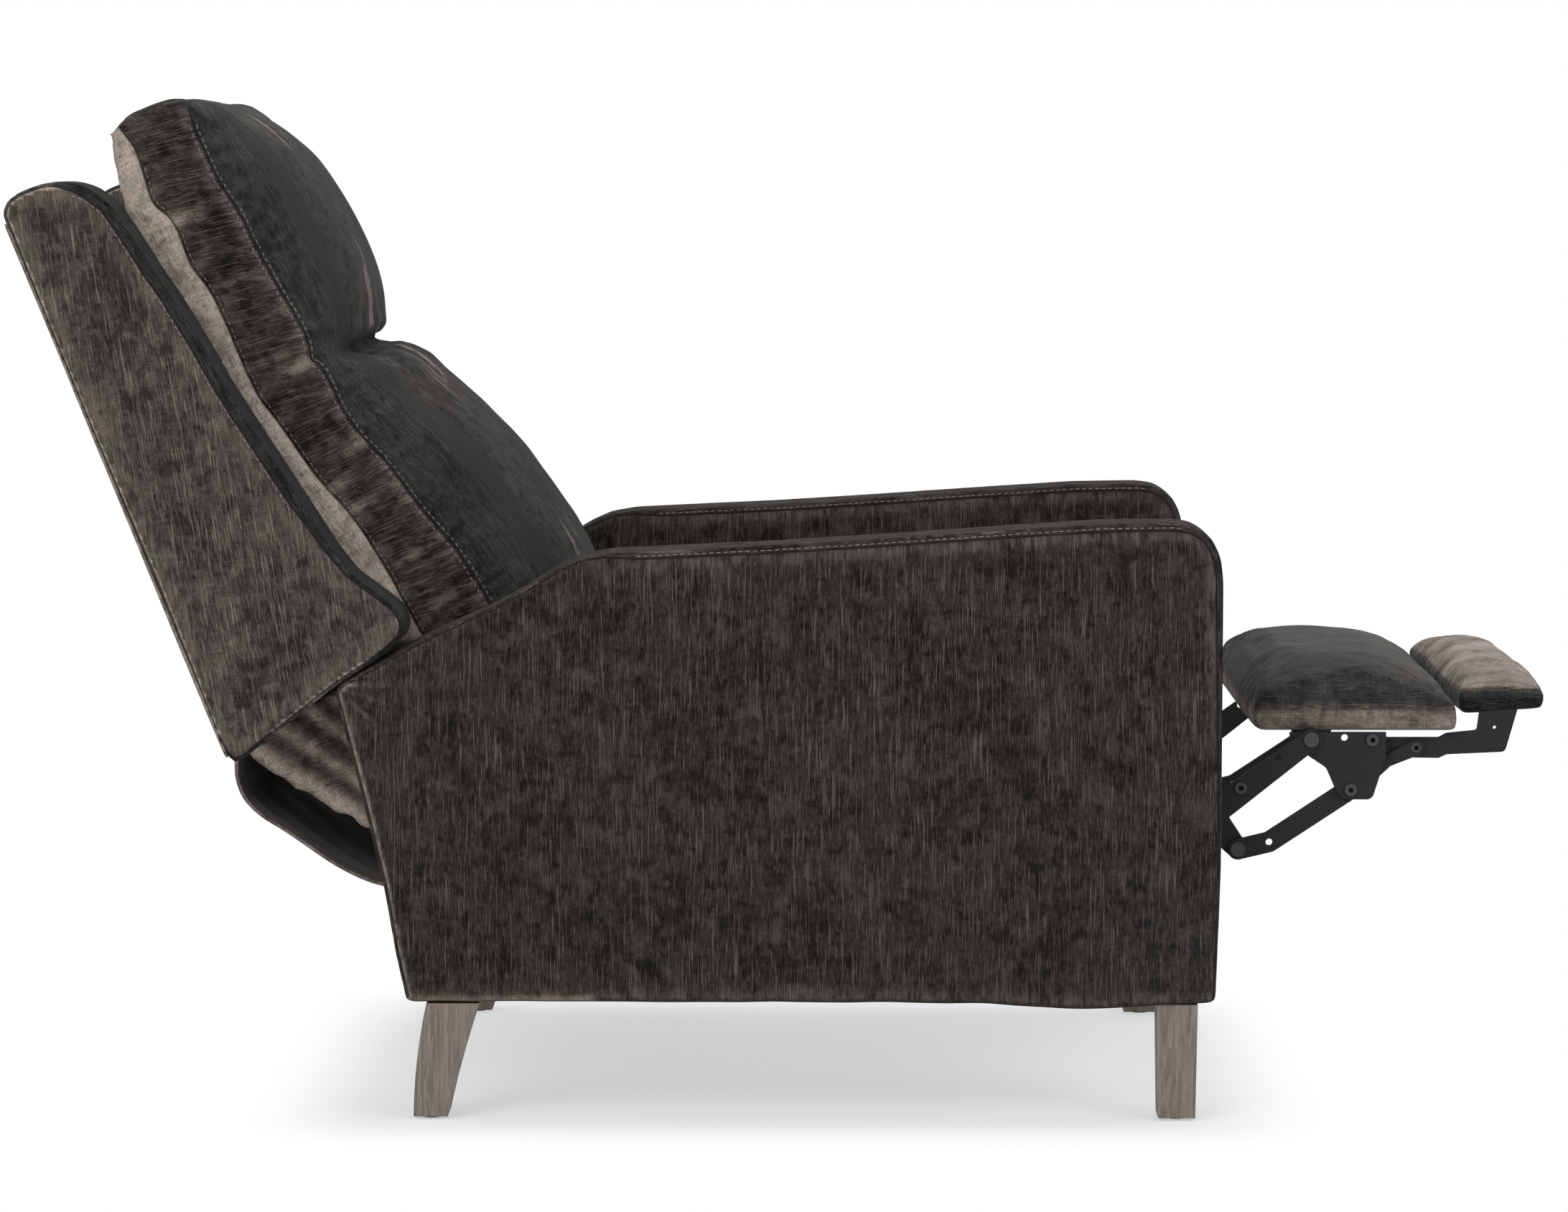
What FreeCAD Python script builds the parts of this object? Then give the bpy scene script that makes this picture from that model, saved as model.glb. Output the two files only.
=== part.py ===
import FreeCAD, Part
import math
import os
from FreeCAD import Placement, Rotation, Vector

# A push-back recliner, reclined with its footrest out. X runs to the front of the chair, Y to the
# sitter's left and Z up. The origin is on the floor under the middle of the overall length.
# Right-hand pieces are on the -Y side. All lengths are millimetres.

doc = FreeCAD.newDocument("recliner")
sheet = doc.addObject("Spreadsheet::Sheet", "sizes")

SIZES = {
    # arms and overall
    "chair_width": 740.0,
    "arm_thickness": 90.0,
    "arm_height": 628.5,
    "arm_front_x": 455.8,
    "arm_length": 927.8,
    "arm_edge_radius": 14.0,
    "arm_crest_radius": 45.0,
    "arm_knee_radius": 200.0,
    "arm_corner_radius": 16.0,
    "arm_board": 18.0,
    "arm_board_inset": 24.0,
    # legs
    "leg_height": 124.0,
    "glide_height": 3.0,
    "glide_radius": 11.0,
    "leg_inset": 8.0,
    "front_leg_width": 43.0,
    "front_leg_depth": 48.0,
    "front_leg_setback": 22.0,
    "leg_taper": 2.0,
    "rear_leg_depth": 44.0,
    "rear_leg_top": 56.0,
    "rear_leg_foot": 36.0,
    "rear_leg_x": -324.0,
    "rear_leg_sweep": 34.0,
    # base frame
    "rail_thickness": 22.0,
    "rear_panel_top": 236.0,
    "rear_panel_thickness": 16.0,
    "rear_panel_proud": 7.0,
    "tube_radius": 11.0,
    "tube_wall": 2.0,
    "cross_tube_x": 62.0,
    "base_plate_height": 46.0,
    "bolt_radius": 6.0,
    "bolt_head": 4.0,
    # steel linkage
    "steel": 4.5,
    "layer_gap": 0.7,
    "head_space": 3.5,
    "bar_half_width": 11.0,
    "slim_half_width": 8.3,
    "tip_half_width": 6.3,
    "pin_radius": 5.0,
    "pin_clearance": 0.05,
    "rivet_head_radius": 8.0,
    "rivet_head": 2.5,
    "screw_head_radius": 6.6,
    "socket_radius": 2.9,
    "socket_depth": 2.0,
    "spare_hole_radius": 3.7,
    "pivot_home_x": 252.1,
    "pivot_home_z": 400.7,
    "linkage_reach": 400.0,
    "swing_front_length": 150.0,
    "swing_rear_length": 110.0,
    "swing_half_width": 13.0,
    # remote centre that the swing links point at
    "swing_centre_x": -1.9,
    "swing_centre_depth": 231.5,
    "recline_angle": 9.5,
    # seat
    "seat_front_x": 341.3,
    "seat_front_z": 440.9,
    "seat_slope_angle": 13.5,
    "seat_depth": 500.0,
    "seat_frame_height": 45.0,
    "seat_frame_rail": 32.0,
    "seat_height": 125.0,
    "seat_crown": 12.0,
    "seat_side_gap": 3.0,
    "border_thickness": 20.0,
    "webbing": 3.0,
    "webbing_width": 50.0,
    "plate_drop": 38.0,
    # back
    "back_foot_x": -596.0,
    "back_foot_z": 376.0,
    "back_angle": 22.0,
    "back_length": 650.0,
    "wing_side_gap": 4.0,
    "wing_edge_radius": 14.0,
    "outside_back": 18.0,
    "back_frame_depth": 45.0,
    "back_frame_rail": 40.0,
    "cushion_side_gap": 8.0,
    "soft_gap": 0.3,
    # footrest
    "footrest_length": 220.6,
    "footrest_side_gap": 17.5,
    "footrest_back": 62.6,
    "footrest_seat_z": 7.6,
    "board": 15.0,
    "pad_edge": 25.0,
    "pad_crown": 36.0,
    "flipper_side_gap": 34.5,
    "flipper_length": 92.0,
    "flipper_gap": 2.5,
    "flipper_rise": 19.0,
    "flipper_board": 10.0,
    "flipper_edge": 17.0,
    "flipper_crown": 18.0,
    "flipper_tilt_angle": 4.0,
    # tail cloth
    "cloth": 2.4,
}

for row, (alias, number) in enumerate(SIZES.items(), start=1):
    sheet.set("A%d" % row, alias)
    sheet.set("B%d" % row, str(number))
    sheet.setAlias("B%d" % row, alias)
doc.recompute()


def size(alias):
    return float(getattr(sheet, alias))


pieces = []


def keep(thing, label):
    thing.Label = label
    pieces.append(thing)
    return thing


# Pivots of the footrest linkage, as shares of its reach from the drive link's pivot on the seat plate.
PIVOT_SHARES = {
    "drive": (0.0, 0.0),
    "support": (0.128, 0.077),
    "elbow": (0.36975, -0.3335),
    "cross": (0.50325, -0.203),
    "knee": (0.5765, -0.3145),
    "bracket": (0.76825, -0.0155),
    "guide": (0.8755, -0.15175),
    "flipper": (0.9325, -0.0175),
    "control_low": (0.96675, -0.0805),
    "control_high": (1.0525, -0.04125),
    "guide_bend": (0.66, -0.2945),
    "stop_stud": (0.58125, -0.14575),
    "long_spare": (0.68, -0.06325),
}


def pivot(name):
    along, up = PIVOT_SHARES[name]
    reach = size("linkage_reach")
    return (size("pivot_home_x") + along * reach, size("pivot_home_z") + up * reach)


def seat_point(back, up):
    """A point of the side view, measured along the seat's slope from its lower front corner."""
    slope = math.radians(size("seat_slope_angle"))
    x = size("seat_front_x") - back * math.cos(slope) - up * math.sin(slope)
    z = size("seat_front_z") - back * math.sin(slope) + up * math.cos(slope)
    return (x, z)


def back_point(up, out):
    """A point of the side view, measured up the outside back and out from it towards the sitter."""
    lean = math.radians(size("back_angle"))
    x = size("back_foot_x") - up * math.sin(lean) + out * math.cos(lean)
    z = size("back_foot_z") + up * math.cos(lean) + out * math.sin(lean)
    return (x, z)


def back_shares(pairs):
    length = size("back_length")
    return [back_point(up * length, out * length) for up, out in pairs]


def rounded(corners):
    """Lines and tangent arcs round a closed outline of (point, corner radius) pairs."""
    stretches = []
    ends = []
    count = len(corners)
    for i, (here, radius) in enumerate(corners):
        before = corners[i - 1][0]
        after = corners[(i + 1) % count][0]
        to_before = Vector(before[0] - here[0], before[1] - here[1], 0)
        to_after = Vector(after[0] - here[0], after[1] - here[1], 0)
        to_before.normalize()
        to_after.normalize()
        corner = Vector(here[0], here[1], 0)
        if radius <= 0:
            ends.append((corner, corner, corner))
            continue
        half = to_before.getAngle(to_after) / 2
        reach = radius / math.tan(half)
        inward = to_before + to_after
        inward.normalize()
        middle = corner + inward * (radius / math.sin(half) - radius)
        ends.append((corner + to_before * reach, middle, corner + to_after * reach))
    for i, (start, middle, stop) in enumerate(ends):
        if start != stop:
            stretches.append((start, middle, stop))
        stretches.append((stop, ends[(i + 1) % count][0]))
    return stretches


def belt(circles):
    """The outline of a bar wrapped round (centre, radius) circles, listed counter-clockwise."""
    count = len(circles)
    normals = []
    for i in range(count):
        (here, near) = circles[i]
        (there, far) = circles[(i + 1) % count]
        along = Vector(there[0] - here[0], there[1] - here[1], 0)
        lift = (near - far) / along.Length
        along.normalize()
        side = Vector(along.y, -along.x, 0)
        normals.append(side * math.sqrt(1 - lift * lift) + along * lift)
    stretches = []
    for i in range(count):
        (centre, radius) = circles[i]
        centre = Vector(centre[0], centre[1], 0)
        arriving, leaving = normals[i - 1], normals[i]
        middle = arriving + leaving
        if count == 2:
            other = circles[1 - i][0]
            middle = centre - Vector(other[0], other[1], 0)
        middle.normalize()
        stretches.append((centre + arriving * radius, centre + middle * radius, centre + leaving * radius))
        (there, far) = circles[(i + 1) % count]
        target = Vector(there[0], there[1], 0)
        stretches.append((centre + leaving * radius, target + leaving * far))
    return stretches


def wire_at(stretches, y):
    """The outline as a wire standing in the side view at one station across the chair."""
    edges = []
    for stretch in stretches:
        points = [Vector(p.x, y, p.y) for p in stretch]
        if len(points) == 2:
            edges.append(Part.LineSegment(points[0], points[1]).toShape())
        else:
            edges.append(Part.Arc(points[0], points[1], points[2]).toShape())
    return Part.Wire(edges)


def slab(label, stretches, thickness, near_y, holes=(), edge_radius=None):
    """A body padded across the chair from an outline of the side view, with round holes."""
    body = doc.addObject("PartDesign::Body", label + "_body")
    sketch = body.newObject("Sketcher::SketchObject", label + "_outline")
    plane = [f for f in body.Origin.OriginFeatures if f.Role == "XZ_Plane"][0]
    sketch.AttachmentSupport = (plane, [""])
    sketch.MapMode = "FlatFace"
    for stretch in stretches:
        if len(stretch) == 2:
            sketch.addGeometry(Part.LineSegment(stretch[0], stretch[1]), False)
        else:
            sketch.addGeometry(Part.Arc(stretch[0], stretch[1], stretch[2]), False)
    for (x, z), radius in holes:
        sketch.addGeometry(Part.Circle(Vector(x, z, 0), Vector(0, 0, 1), radius), False)
    pad = body.newObject("PartDesign::Pad", label + "_pad")
    pad.Profile = sketch
    pad.setExpression("Length", thickness)
    body.setExpression("Placement.Base.y", near_y)
    body.Tip = pad
    if edge_radius:
        doc.recompute()
        names = []
        for n, edge in enumerate(pad.Shape.Edges, start=1):
            ys = [v.Point.y for v in edge.Vertexes]
            flat = max(ys) - min(ys) < size("pin_clearance")
            if flat:
                names.append("Edge%d" % n)
        fillet = body.newObject("PartDesign::Fillet", label + "_fillet")
        fillet.Base = (pad, names)
        fillet.setExpression("Radius", edge_radius)
        body.Tip = fillet
    return keep(body, label)


def slab_pair(label, stretches, thickness, outer, holes=(), edge_radius=None):
    """The same slab on both sides, its outer face at the given distance from the middle plane."""
    right = "-(%s) + (%s)" % (outer, thickness)
    slab(label + "_right", stretches, thickness, right, holes, edge_radius)
    slab(label + "_left", stretches, thickness, outer, holes, edge_radius)


def one_node(label):
    """Both sides' bars in one node, because they are the same bar twice."""
    sides = [p for p in pieces if p.Label in (label + "_right", label + "_left")]
    for side in sides:
        pieces.remove(side)
    node = doc.addObject("Part::Compound", label + "_both")
    node.Links = sides
    return keep(node, label + "s")


ARM_INNER = "sizes.chair_width / 2 - sizes.arm_thickness"


def layer_outer(layer):
    """Outer face of a steel layer: 0 is the base plate, 1 the swing links, 2 and up the footrest links."""
    steps = "%d * (sizes.steel + sizes.layer_gap)" % layer
    space = " - sizes.head_space" if layer > 1 else ""
    return "%s - %s%s" % (ARM_INNER, steps, space)


BACK_LAYER = 8


def layer_outer_value(layer):
    outer = size("chair_width") / 2 - size("arm_thickness")
    outer -= layer * (size("steel") + size("layer_gap"))
    return outer - (size("head_space") if layer > 1 else 0)


def clear_half(gap):
    """Half the room between the arms, less a gap at each side."""
    return size("chair_width") / 2 - size("arm_thickness") - size(gap)


HOLE = size("pin_radius") + size("pin_clearance")
BAR = size("bar_half_width")
SLIM = size("slim_half_width")
TIP = size("tip_half_width")


SPARE_HOLE = size("spare_hole_radius")


def bar_pair(label, names, layer, holes, widths=None, spare=()):
    widths = widths or [BAR] * len(names)
    circles = [(pivot(n), w) for n, w in zip(names, widths)]
    cuts = [(pivot(n), HOLE) for n in holes] + [(pivot(n), SPARE_HOLE) for n in spare]
    slab_pair(label, belt(circles), "sizes.steel", layer_outer(layer), cuts)


END_ROUND_SHARE = 0.98


def bent_bar(stops):
    """The outline of a bar that turns at its (point, half width) stops and has round ends."""
    ways = []
    for (here, half), (there, far) in zip(stops, stops[1:]):
        along = Vector(there[0] - here[0], there[1] - here[1], 0)
        along.normalize()
        ways.append(along)
    upper, lower = [], []
    for i, (point, half) in enumerate(stops):
        arriving, leaving = ways[max(i - 1, 0)], ways[min(i, len(ways) - 1)]
        along = arriving + leaving
        along.normalize()
        side = Vector(-along.y, along.x, 0) * (half / along.dot(leaving))
        middle = Vector(point[0], point[1], 0)
        turn = half
        if i in (0, len(stops) - 1):
            middle += along * (half if i else -half)
            turn = half * END_ROUND_SHARE
        above, below = middle + side, middle - side
        upper.append(((above.x, above.y), turn))
        lower.insert(0, ((below.x, below.y), turn))
    return rounded(upper + lower)


def cylinder(name, x, z, radius, inner, outer, side):
    """A round pin across the chair between two distances from the middle plane, on one side."""
    pin = doc.addObject("Part::Cylinder", name)
    pin.setExpression("Radius", radius)
    pin.setExpression("Height", "(%s) - (%s)" % (outer, inner))
    pin.Placement = Placement(Vector(x, 0, z), Rotation(Vector(1, 0, 0), -90))
    start = inner if side > 0 else "-(%s)" % outer
    pin.setExpression("Placement.Base.y", start)
    return pin


def socketed(name, solid, place, face, side):
    """The pin with a six-sided socket sunk in its outer face."""
    socket = doc.addObject("Part::Prism", name + "_socket")
    socket.Polygon = 6
    socket.setExpression("Circumradius", "sizes.socket_radius")
    socket.setExpression("Height", "2 * sizes.socket_depth")
    socket.Placement = Placement(Vector(place[0], 0, place[1]), Rotation(Vector(1, 0, 0), -90))
    start = "(%s) - sizes.socket_depth" % face if side > 0 else "-(%s) - sizes.socket_depth" % face
    socket.setExpression("Placement.Base.y", start)
    cut = doc.addObject("Part::Cut", name + "_socketed")
    cut.Base = solid
    cut.Tool = socket
    return cut


def rivets(label, pins):
    """Rivets on both sides: each from an inner layer's inside to an outer layer's outside, some headed."""
    group = []
    for side in (-1, 1):
        for n, (place, outer_layer, inner_layer, head) in enumerate(pins):
            name = "%s_%d_%s" % (label, n, "left" if side > 0 else "right")
            outside = layer_outer(outer_layer)
            if head == "stops_at_link":
                outside = layer_outer(outer_layer) + " - sizes.steel - sizes.layer_gap / 2"
            inside = layer_outer(inner_layer) + " - sizes.steel"
            shank = cylinder(name + "_shank", place[0], place[1], "sizes.pin_radius", inside, outside, side)
            if head in ("outer", "screw"):
                top = "%s + sizes.rivet_head" % outside
                wide = "sizes.screw_head_radius" if head == "screw" else "sizes.rivet_head_radius"
                cap = cylinder(name + "_head", place[0], place[1], wide, outside, top, side)
            elif head == "inner":
                low = "%s - sizes.rivet_head" % inside
                wide = "sizes.rivet_head_radius"
                cap = cylinder(name + "_head", place[0], place[1], wide, low, inside, side)
            elif head == "flush_screw":
                group.append(socketed(name, shank, place, outside, side))
                continue
            else:
                group.append(shank)
                continue
            whole = doc.addObject("Part::Fuse", name)
            whole.Base = shank
            whole.Tool = cap
            if head == "screw":
                whole = socketed(name, whole, place, top, side)
            group.append(whole)
    node = doc.addObject("Part::Compound", label + "_group")
    node.Links = group
    return keep(node, label)


def tube(label, x, z, half_length):
    outer = cylinder(label + "_outer", x, z, "sizes.tube_radius", "-(%s)" % half_length, half_length, 1)
    bore = cylinder(label + "_bore", x, z, "sizes.tube_radius - sizes.tube_wall",
                    "-(%s)" % half_length, half_length, 1)
    cut = doc.addObject("Part::Cut", label + "_cut")
    cut.Base = outer
    cut.Tool = bore
    return keep(cut, label)


def solid_piece(label, shape):
    feature = doc.addObject("Part::Feature", label + "_shape")
    feature.Shape = shape
    return keep(feature, label)


def both_sides(stretches, inner, outer):
    """An outline of the side view made solid between two distances from the middle, on both sides."""
    right = Part.Face(wire_at(stretches, -outer)).extrude(Vector(0, outer - inner, 0))
    left = Part.Face(wire_at(stretches, inner)).extrude(Vector(0, outer - inner, 0))
    return Part.makeCompound([right, left])


def across(stretches, half_width):
    """An outline of the side view made solid across the middle of the chair."""
    face = Part.Face(wire_at(stretches, -half_width))
    return face.extrude(Vector(0, 2 * half_width, 0))


# Arms: a padded cover over a plywood board that stands at the inner side.

def arm_corners(inset, board=False):
    front = size("arm_front_x") - inset
    length = size("arm_length") - 2 * inset
    top = size("arm_height") - inset
    bottom = size("leg_height")
    knee_share, knee_height_share = 0.7178, 0.9508
    rear_height_share, foot_share = 0.724, 0.9149
    small = size("arm_corner_radius")
    return [
        ((front, bottom), small),
        ((front, top), size("arm_crest_radius") if not board else small),
        ((front - knee_share * length, top * knee_height_share), size("arm_knee_radius")),
        ((front - length, top * rear_height_share), small),
        ((front - foot_share * length, bottom), small),
    ]


def arms():
    inset = size("arm_board_inset")
    board = rounded(arm_corners(inset, board=True))
    slab_pair("arm_frame", board, "sizes.arm_board", "(%s) + sizes.arm_board" % ARM_INNER)
    outline = rounded(arm_corners(0.0))
    for side_name, near in (("right", "-(%s)" % ARM_INNER), ("left", "sizes.chair_width / 2")):
        whole = slab("arm_block_" + side_name, outline, "sizes.arm_thickness", near,
                     edge_radius="sizes.arm_edge_radius")
        pieces.remove(whole)
        frame = [p for p in pieces if p.Label == "arm_frame_" + side_name][0]
        cover = doc.addObject("Part::Cut", "arm_cover_%s_cut" % side_name)
        cover.Base = whole
        cover.Tool = frame
        keep(cover, "arm_cover_" + side_name)


arms()


# Legs: straight tapered ones in front, sabre ones behind, each on a plastic glide.

def front_leg_outline():
    right = size("arm_front_x") - size("front_leg_setback")
    left = right - size("front_leg_width")
    taper, low, high = size("leg_taper"), size("glide_height"), size("leg_height")
    foot = [((left + taper, low), 0), ((right - taper, low), 0)]
    return rounded([((left, high), 0)] + foot + [((right, high), 0)])


def rear_leg_outline():
    high, low = size("leg_height"), size("glide_height")
    front = size("rear_leg_x")
    rear = front - size("rear_leg_top")
    sweep = size("rear_leg_sweep")
    foot_front = front - sweep
    foot_rear = foot_front - size("rear_leg_foot")
    middle = low + (high - low) / 2
    bow_share = 0.72
    return [
        (Vector(rear, high, 0), Vector(rear + (foot_rear - rear) * bow_share, middle, 0),
         Vector(foot_rear, low, 0)),
        (Vector(foot_rear, low, 0), Vector(foot_front, low, 0)),
        (Vector(foot_front, low, 0), Vector(front - sweep * (1 - bow_share) * 2, middle, 0),
         Vector(front, high, 0)),
        (Vector(front, high, 0), Vector(rear, high, 0)),
    ]


slab_pair("front_leg", front_leg_outline(), "sizes.front_leg_depth",
          "sizes.chair_width / 2 - sizes.leg_inset")
slab_pair("rear_leg", rear_leg_outline(), "sizes.rear_leg_depth",
          "sizes.chair_width / 2 - sizes.leg_inset")


def glides():
    front_x = size("arm_front_x") - size("front_leg_setback") - size("front_leg_width") / 2
    rear_x = size("rear_leg_x") - size("rear_leg_sweep") - size("rear_leg_foot") / 2
    group = []
    for x, depth in ((front_x, "front_leg_depth"), (rear_x, "rear_leg_depth")):
        for side in (-1, 1):
            y = side * (size("chair_width") / 2 - size("leg_inset") - size(depth) / 2)
            disc = doc.addObject("Part::Cylinder", "glide")
            disc.setExpression("Radius", "sizes.glide_radius")
            disc.setExpression("Height", "sizes.glide_height")
            disc.Placement = Placement(Vector(x, y, 0), Rotation())
            group.append(disc)
    node = doc.addObject("Part::Compound", "glide_group")
    node.Links = group
    keep(node, "leg_glides")


glides()


# Lower rear of the base: a wooden rail with an upholstered panel over it, between the arms.

def arm_rear_x(z):
    """Where the rear edge of the arms lies at a height."""
    corners = arm_corners(0.0)
    (x_high, z_high), (x_low, z_low) = corners[3][0], corners[4][0]
    return x_low + (x_high - x_low) * (z - z_low) / (z_high - z_low)


def rear_panel():
    low, high = size("leg_height"), size("rear_panel_top")
    proud, thick = size("rear_panel_proud"), size("rear_panel_thickness")
    rail = size("rail_thickness")
    low_x, high_x = arm_rear_x(low) - proud, arm_rear_x(high) - proud
    cover = rounded([((low_x, low), 0), ((low_x + thick, low), 0), ((high_x + thick, high), thick / 4),
                     ((high_x, high), thick / 4)])
    wood = rounded([((low_x + thick, low), 0), ((low_x + thick + rail, low), 0),
                    ((high_x + thick + rail, high), 0), ((high_x + thick, high), 0)])
    slab("lower_rear_panel", cover, "2 * (%s) - sizes.soft_gap" % ARM_INNER,
         "%s - sizes.soft_gap / 2" % ARM_INNER)
    slab("rear_rail", wood, "2 * (%s)" % ARM_INNER, ARM_INNER)


rear_panel()


# Remote centre and swing links. Each link stands on the line through that centre, so that both of
# its ends fit the seat unit upright and reclined.

def centre():
    return Vector(size("swing_centre_x"), -size("swing_centre_depth"), 0)


def swing_foot(top, length):
    middle = centre()
    arm = Vector(top[0], top[1], 0) - middle
    half_turn = math.radians(size("recline_angle")) / 2
    aside = arm.Length * math.sin(half_turn)
    along = arm.Length * math.cos(half_turn) - math.sqrt(length ** 2 - aside ** 2)
    angle = math.atan2(arm.y, arm.x) - half_turn
    return (middle.x + along * math.cos(angle), middle.y + along * math.sin(angle))


SWING_FRONT_SHARES = (0.342, 0.12)
SWING_REAR_SHARES = (0.958, 0.12)


def swing_top(shares):
    """A swing link's upper pivot, as shares of the seat depth from the front and of the seat height down."""
    return seat_point(shares[0] * size("seat_depth"), -shares[1] * size("seat_height"))


front_top = swing_top(SWING_FRONT_SHARES)
rear_top = swing_top(SWING_REAR_SHARES)
front_foot = swing_foot(front_top, size("swing_front_length"))
rear_foot = swing_foot(rear_top, size("swing_rear_length"))
SWING = size("swing_half_width")


def base_side():
    front = front_foot[0] + 4 * SWING
    rear = rear_foot[0] - 2 * SWING
    middle = (front_foot[1] + rear_foot[1]) / 2
    low, high = middle - size("base_plate_height") / 2, middle + size("base_plate_height") / 2
    outline = rounded([((rear, low), SWING / 2), ((front, low), SWING / 2), ((front, high), SWING / 2),
                       ((rear, high), SWING / 2)])
    bolt = size("bolt_radius")
    places = [(front - 2 * bolt, middle), ((front + rear) / 2 + 4 * bolt, middle),
              (rear_foot[0] + 6 * bolt, middle)]
    holes = [(front_foot, HOLE), (rear_foot, HOLE)]
    slab_pair("base_plate", outline, "sizes.steel", layer_outer(0), holes)
    group = []
    for side in (-1, 1):
        for x, z in places:
            inside = layer_outer(0) + " - sizes.steel"
            under = inside + " - sizes.bolt_head"
            group.append(cylinder("bolt", x, z, "sizes.bolt_radius", under, inside, side))
    node = doc.addObject("Part::Compound", "bolt_group")
    node.Links = group
    keep(node, "base_bolts")
    tube("base_cross_tube", size("cross_tube_x"), middle, layer_outer(0) + " - sizes.steel")


base_side()
slab_pair("front_swing_link", belt([(front_foot, SWING), (front_top, SWING)]), "sizes.steel", layer_outer(1),
          [(front_foot, HOLE)])
slab_pair("rear_swing_link", belt([(rear_foot, SWING), (rear_top, SWING)]), "sizes.steel", layer_outer(1),
          [(rear_foot, HOLE)])
one_node("front_swing_link")
one_node("rear_swing_link")
rivets("base_rivets", [(front_foot, 0, 1, "flush"), (rear_foot, 0, 1, "flush")])


# Seat: steel side plates, a wooden frame with webbing, a front border and the cushion.

def plain(corners):
    return rounded([(corner, 0) for corner in corners])


def slope_bar(start, stop, low, high):
    return plain([seat_point(start, low), seat_point(start, high),
                  seat_point(stop, high), seat_point(stop, low)])


def seat_frame():
    depth, height, rail = size("seat_depth"), size("seat_frame_height"), size("seat_frame_rail")
    set_back = size("border_thickness") + size("soft_gap")
    outer = layer_outer_value(BACK_LAYER) - size("steel")
    inner = outer - rail
    solid_piece("seat_side_rails", both_sides(slope_bar(set_back, depth, 0, height), inner, outer))
    front = across(slope_bar(set_back, set_back + rail, 0, height), inner)
    rear = across(slope_bar(depth - rail, depth, 0, height), inner)
    solid_piece("seat_cross_rails", Part.makeCompound([front, rear]))


def seat_webbing():
    depth, rail = size("seat_depth"), size("seat_frame_rail")
    set_back = size("border_thickness") + size("soft_gap")
    half = layer_outer_value(BACK_LAYER) - size("steel") - rail
    top = size("seat_frame_height") - size("webbing")
    width = size("webbing_width")
    straps = []
    count = 5
    room = depth - set_back - 2 * rail
    pitch = room / count
    for n in range(count):
        start = set_back + rail + n * pitch + (pitch - width) / 2
        straps.append(across(slope_bar(start, start + width, top, top + size("webbing")), half))
    return Part.makeCompound(straps)


def crowned(profile, half_width, stations):
    """A loft across the chair through a profile that grows from its seam to its crown."""
    wires = []
    ordered = sorted(stations, key=lambda pair: pair[0])
    places = [(-share, grown) for share, grown in reversed(ordered)] + [p for p in ordered if p[0] > 0]
    for share, grown in places:
        wires.append(wire_at(profile(grown), share * half_width))
    return Part.makeLoft(wires, True, True)


SOFT_STATION_SHARES = [(0.0, 1.0), (0.45, 0.93), (0.8, 0.68), (0.94, 0.36), (1.0, 0.0)]


def seat_profile(grown):
    depth = size("seat_depth")
    low = size("seat_frame_height") + size("soft_gap")
    edge = size("seat_height") - size("seat_crown") * (1 - grown)
    flat_share, nose_share = 0.2, 0.08
    crown = edge + size("seat_crown") * (flat_share + (1 - flat_share) * grown)
    draw = size("seat_crown") * (1 - grown)
    points = [
        seat_point(draw, low), seat_point(draw / 2, low + (edge - low) / 2),
        seat_point(nose_share * depth, edge), seat_point(depth / 2, crown), seat_point(depth - draw, edge),
        seat_point(depth - draw, low),
    ]
    p = [Vector(x, z, 0) for x, z in points]
    return [(p[0], p[1], p[2]), (p[2], p[3], p[4]), (p[4], p[5]), (p[5], p[0])]


def front_border():
    height, thick = size("seat_frame_height"), size("border_thickness")
    corners = [(seat_point(0, 0), thick / 3), (seat_point(0, height), thick / 3),
               (seat_point(thick, height), 0),
               (seat_point(thick, 0), 0)]
    return across(rounded(corners), seat_half)


seat_half = clear_half("seat_side_gap")
seat_frame()
solid_piece("seat_webbing", seat_webbing())
solid_piece("seat_cushion", crowned(seat_profile, seat_half, SOFT_STATION_SHARES))
solid_piece("seat_front_border", front_border())


SEAT_PLATE_BEND_SHARE = 0.3


def seat_plates():
    drop, height, depth = size("plate_drop"), size("seat_frame_height"), size("seat_depth")
    nose = size("border_thickness") + size("soft_gap")
    corners = [
        (seat_point(nose, height / 2), SWING / 2),
        (seat_point(nose, -drop / 2), SWING / 2),
        (seat_point(depth * SEAT_PLATE_BEND_SHARE, -drop), SWING),
        (seat_point(depth, -drop), SWING),
        (seat_point(depth, height - SWING), SWING / 2),
        (seat_point(depth / 2, height - SWING), 0),
    ]
    holes = [(pivot("drive"), HOLE), (pivot("support"), HOLE), (front_top, HOLE), (rear_top, HOLE)]
    slab_pair("seat_plate", rounded(corners), "sizes.steel", layer_outer(7), holes)


seat_plates()
rivets("seat_rivets", [
    (pivot("drive"), 6, 7, "inner"),
    (pivot("support"), 5, 7, "outer"),
    (front_top, 1, 7, "stops_at_link"),
    (rear_top, 1, 7, "stops_at_link"),
])


# Back: steel brackets, a wooden frame, the outside panel, the boxed lower back, wings and the cushion.

BRACKET_LAP_SHARE = 0.62
BRACKET_EDGE_SHARES = (-0.19, 0.182), (-0.017, 0.0615)
BRACKET_TOP_SHARES = (0.3, 0.0615), (0.3, 0.1015), (-0.006, 0.1015), (-0.146, 0.231)


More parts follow.
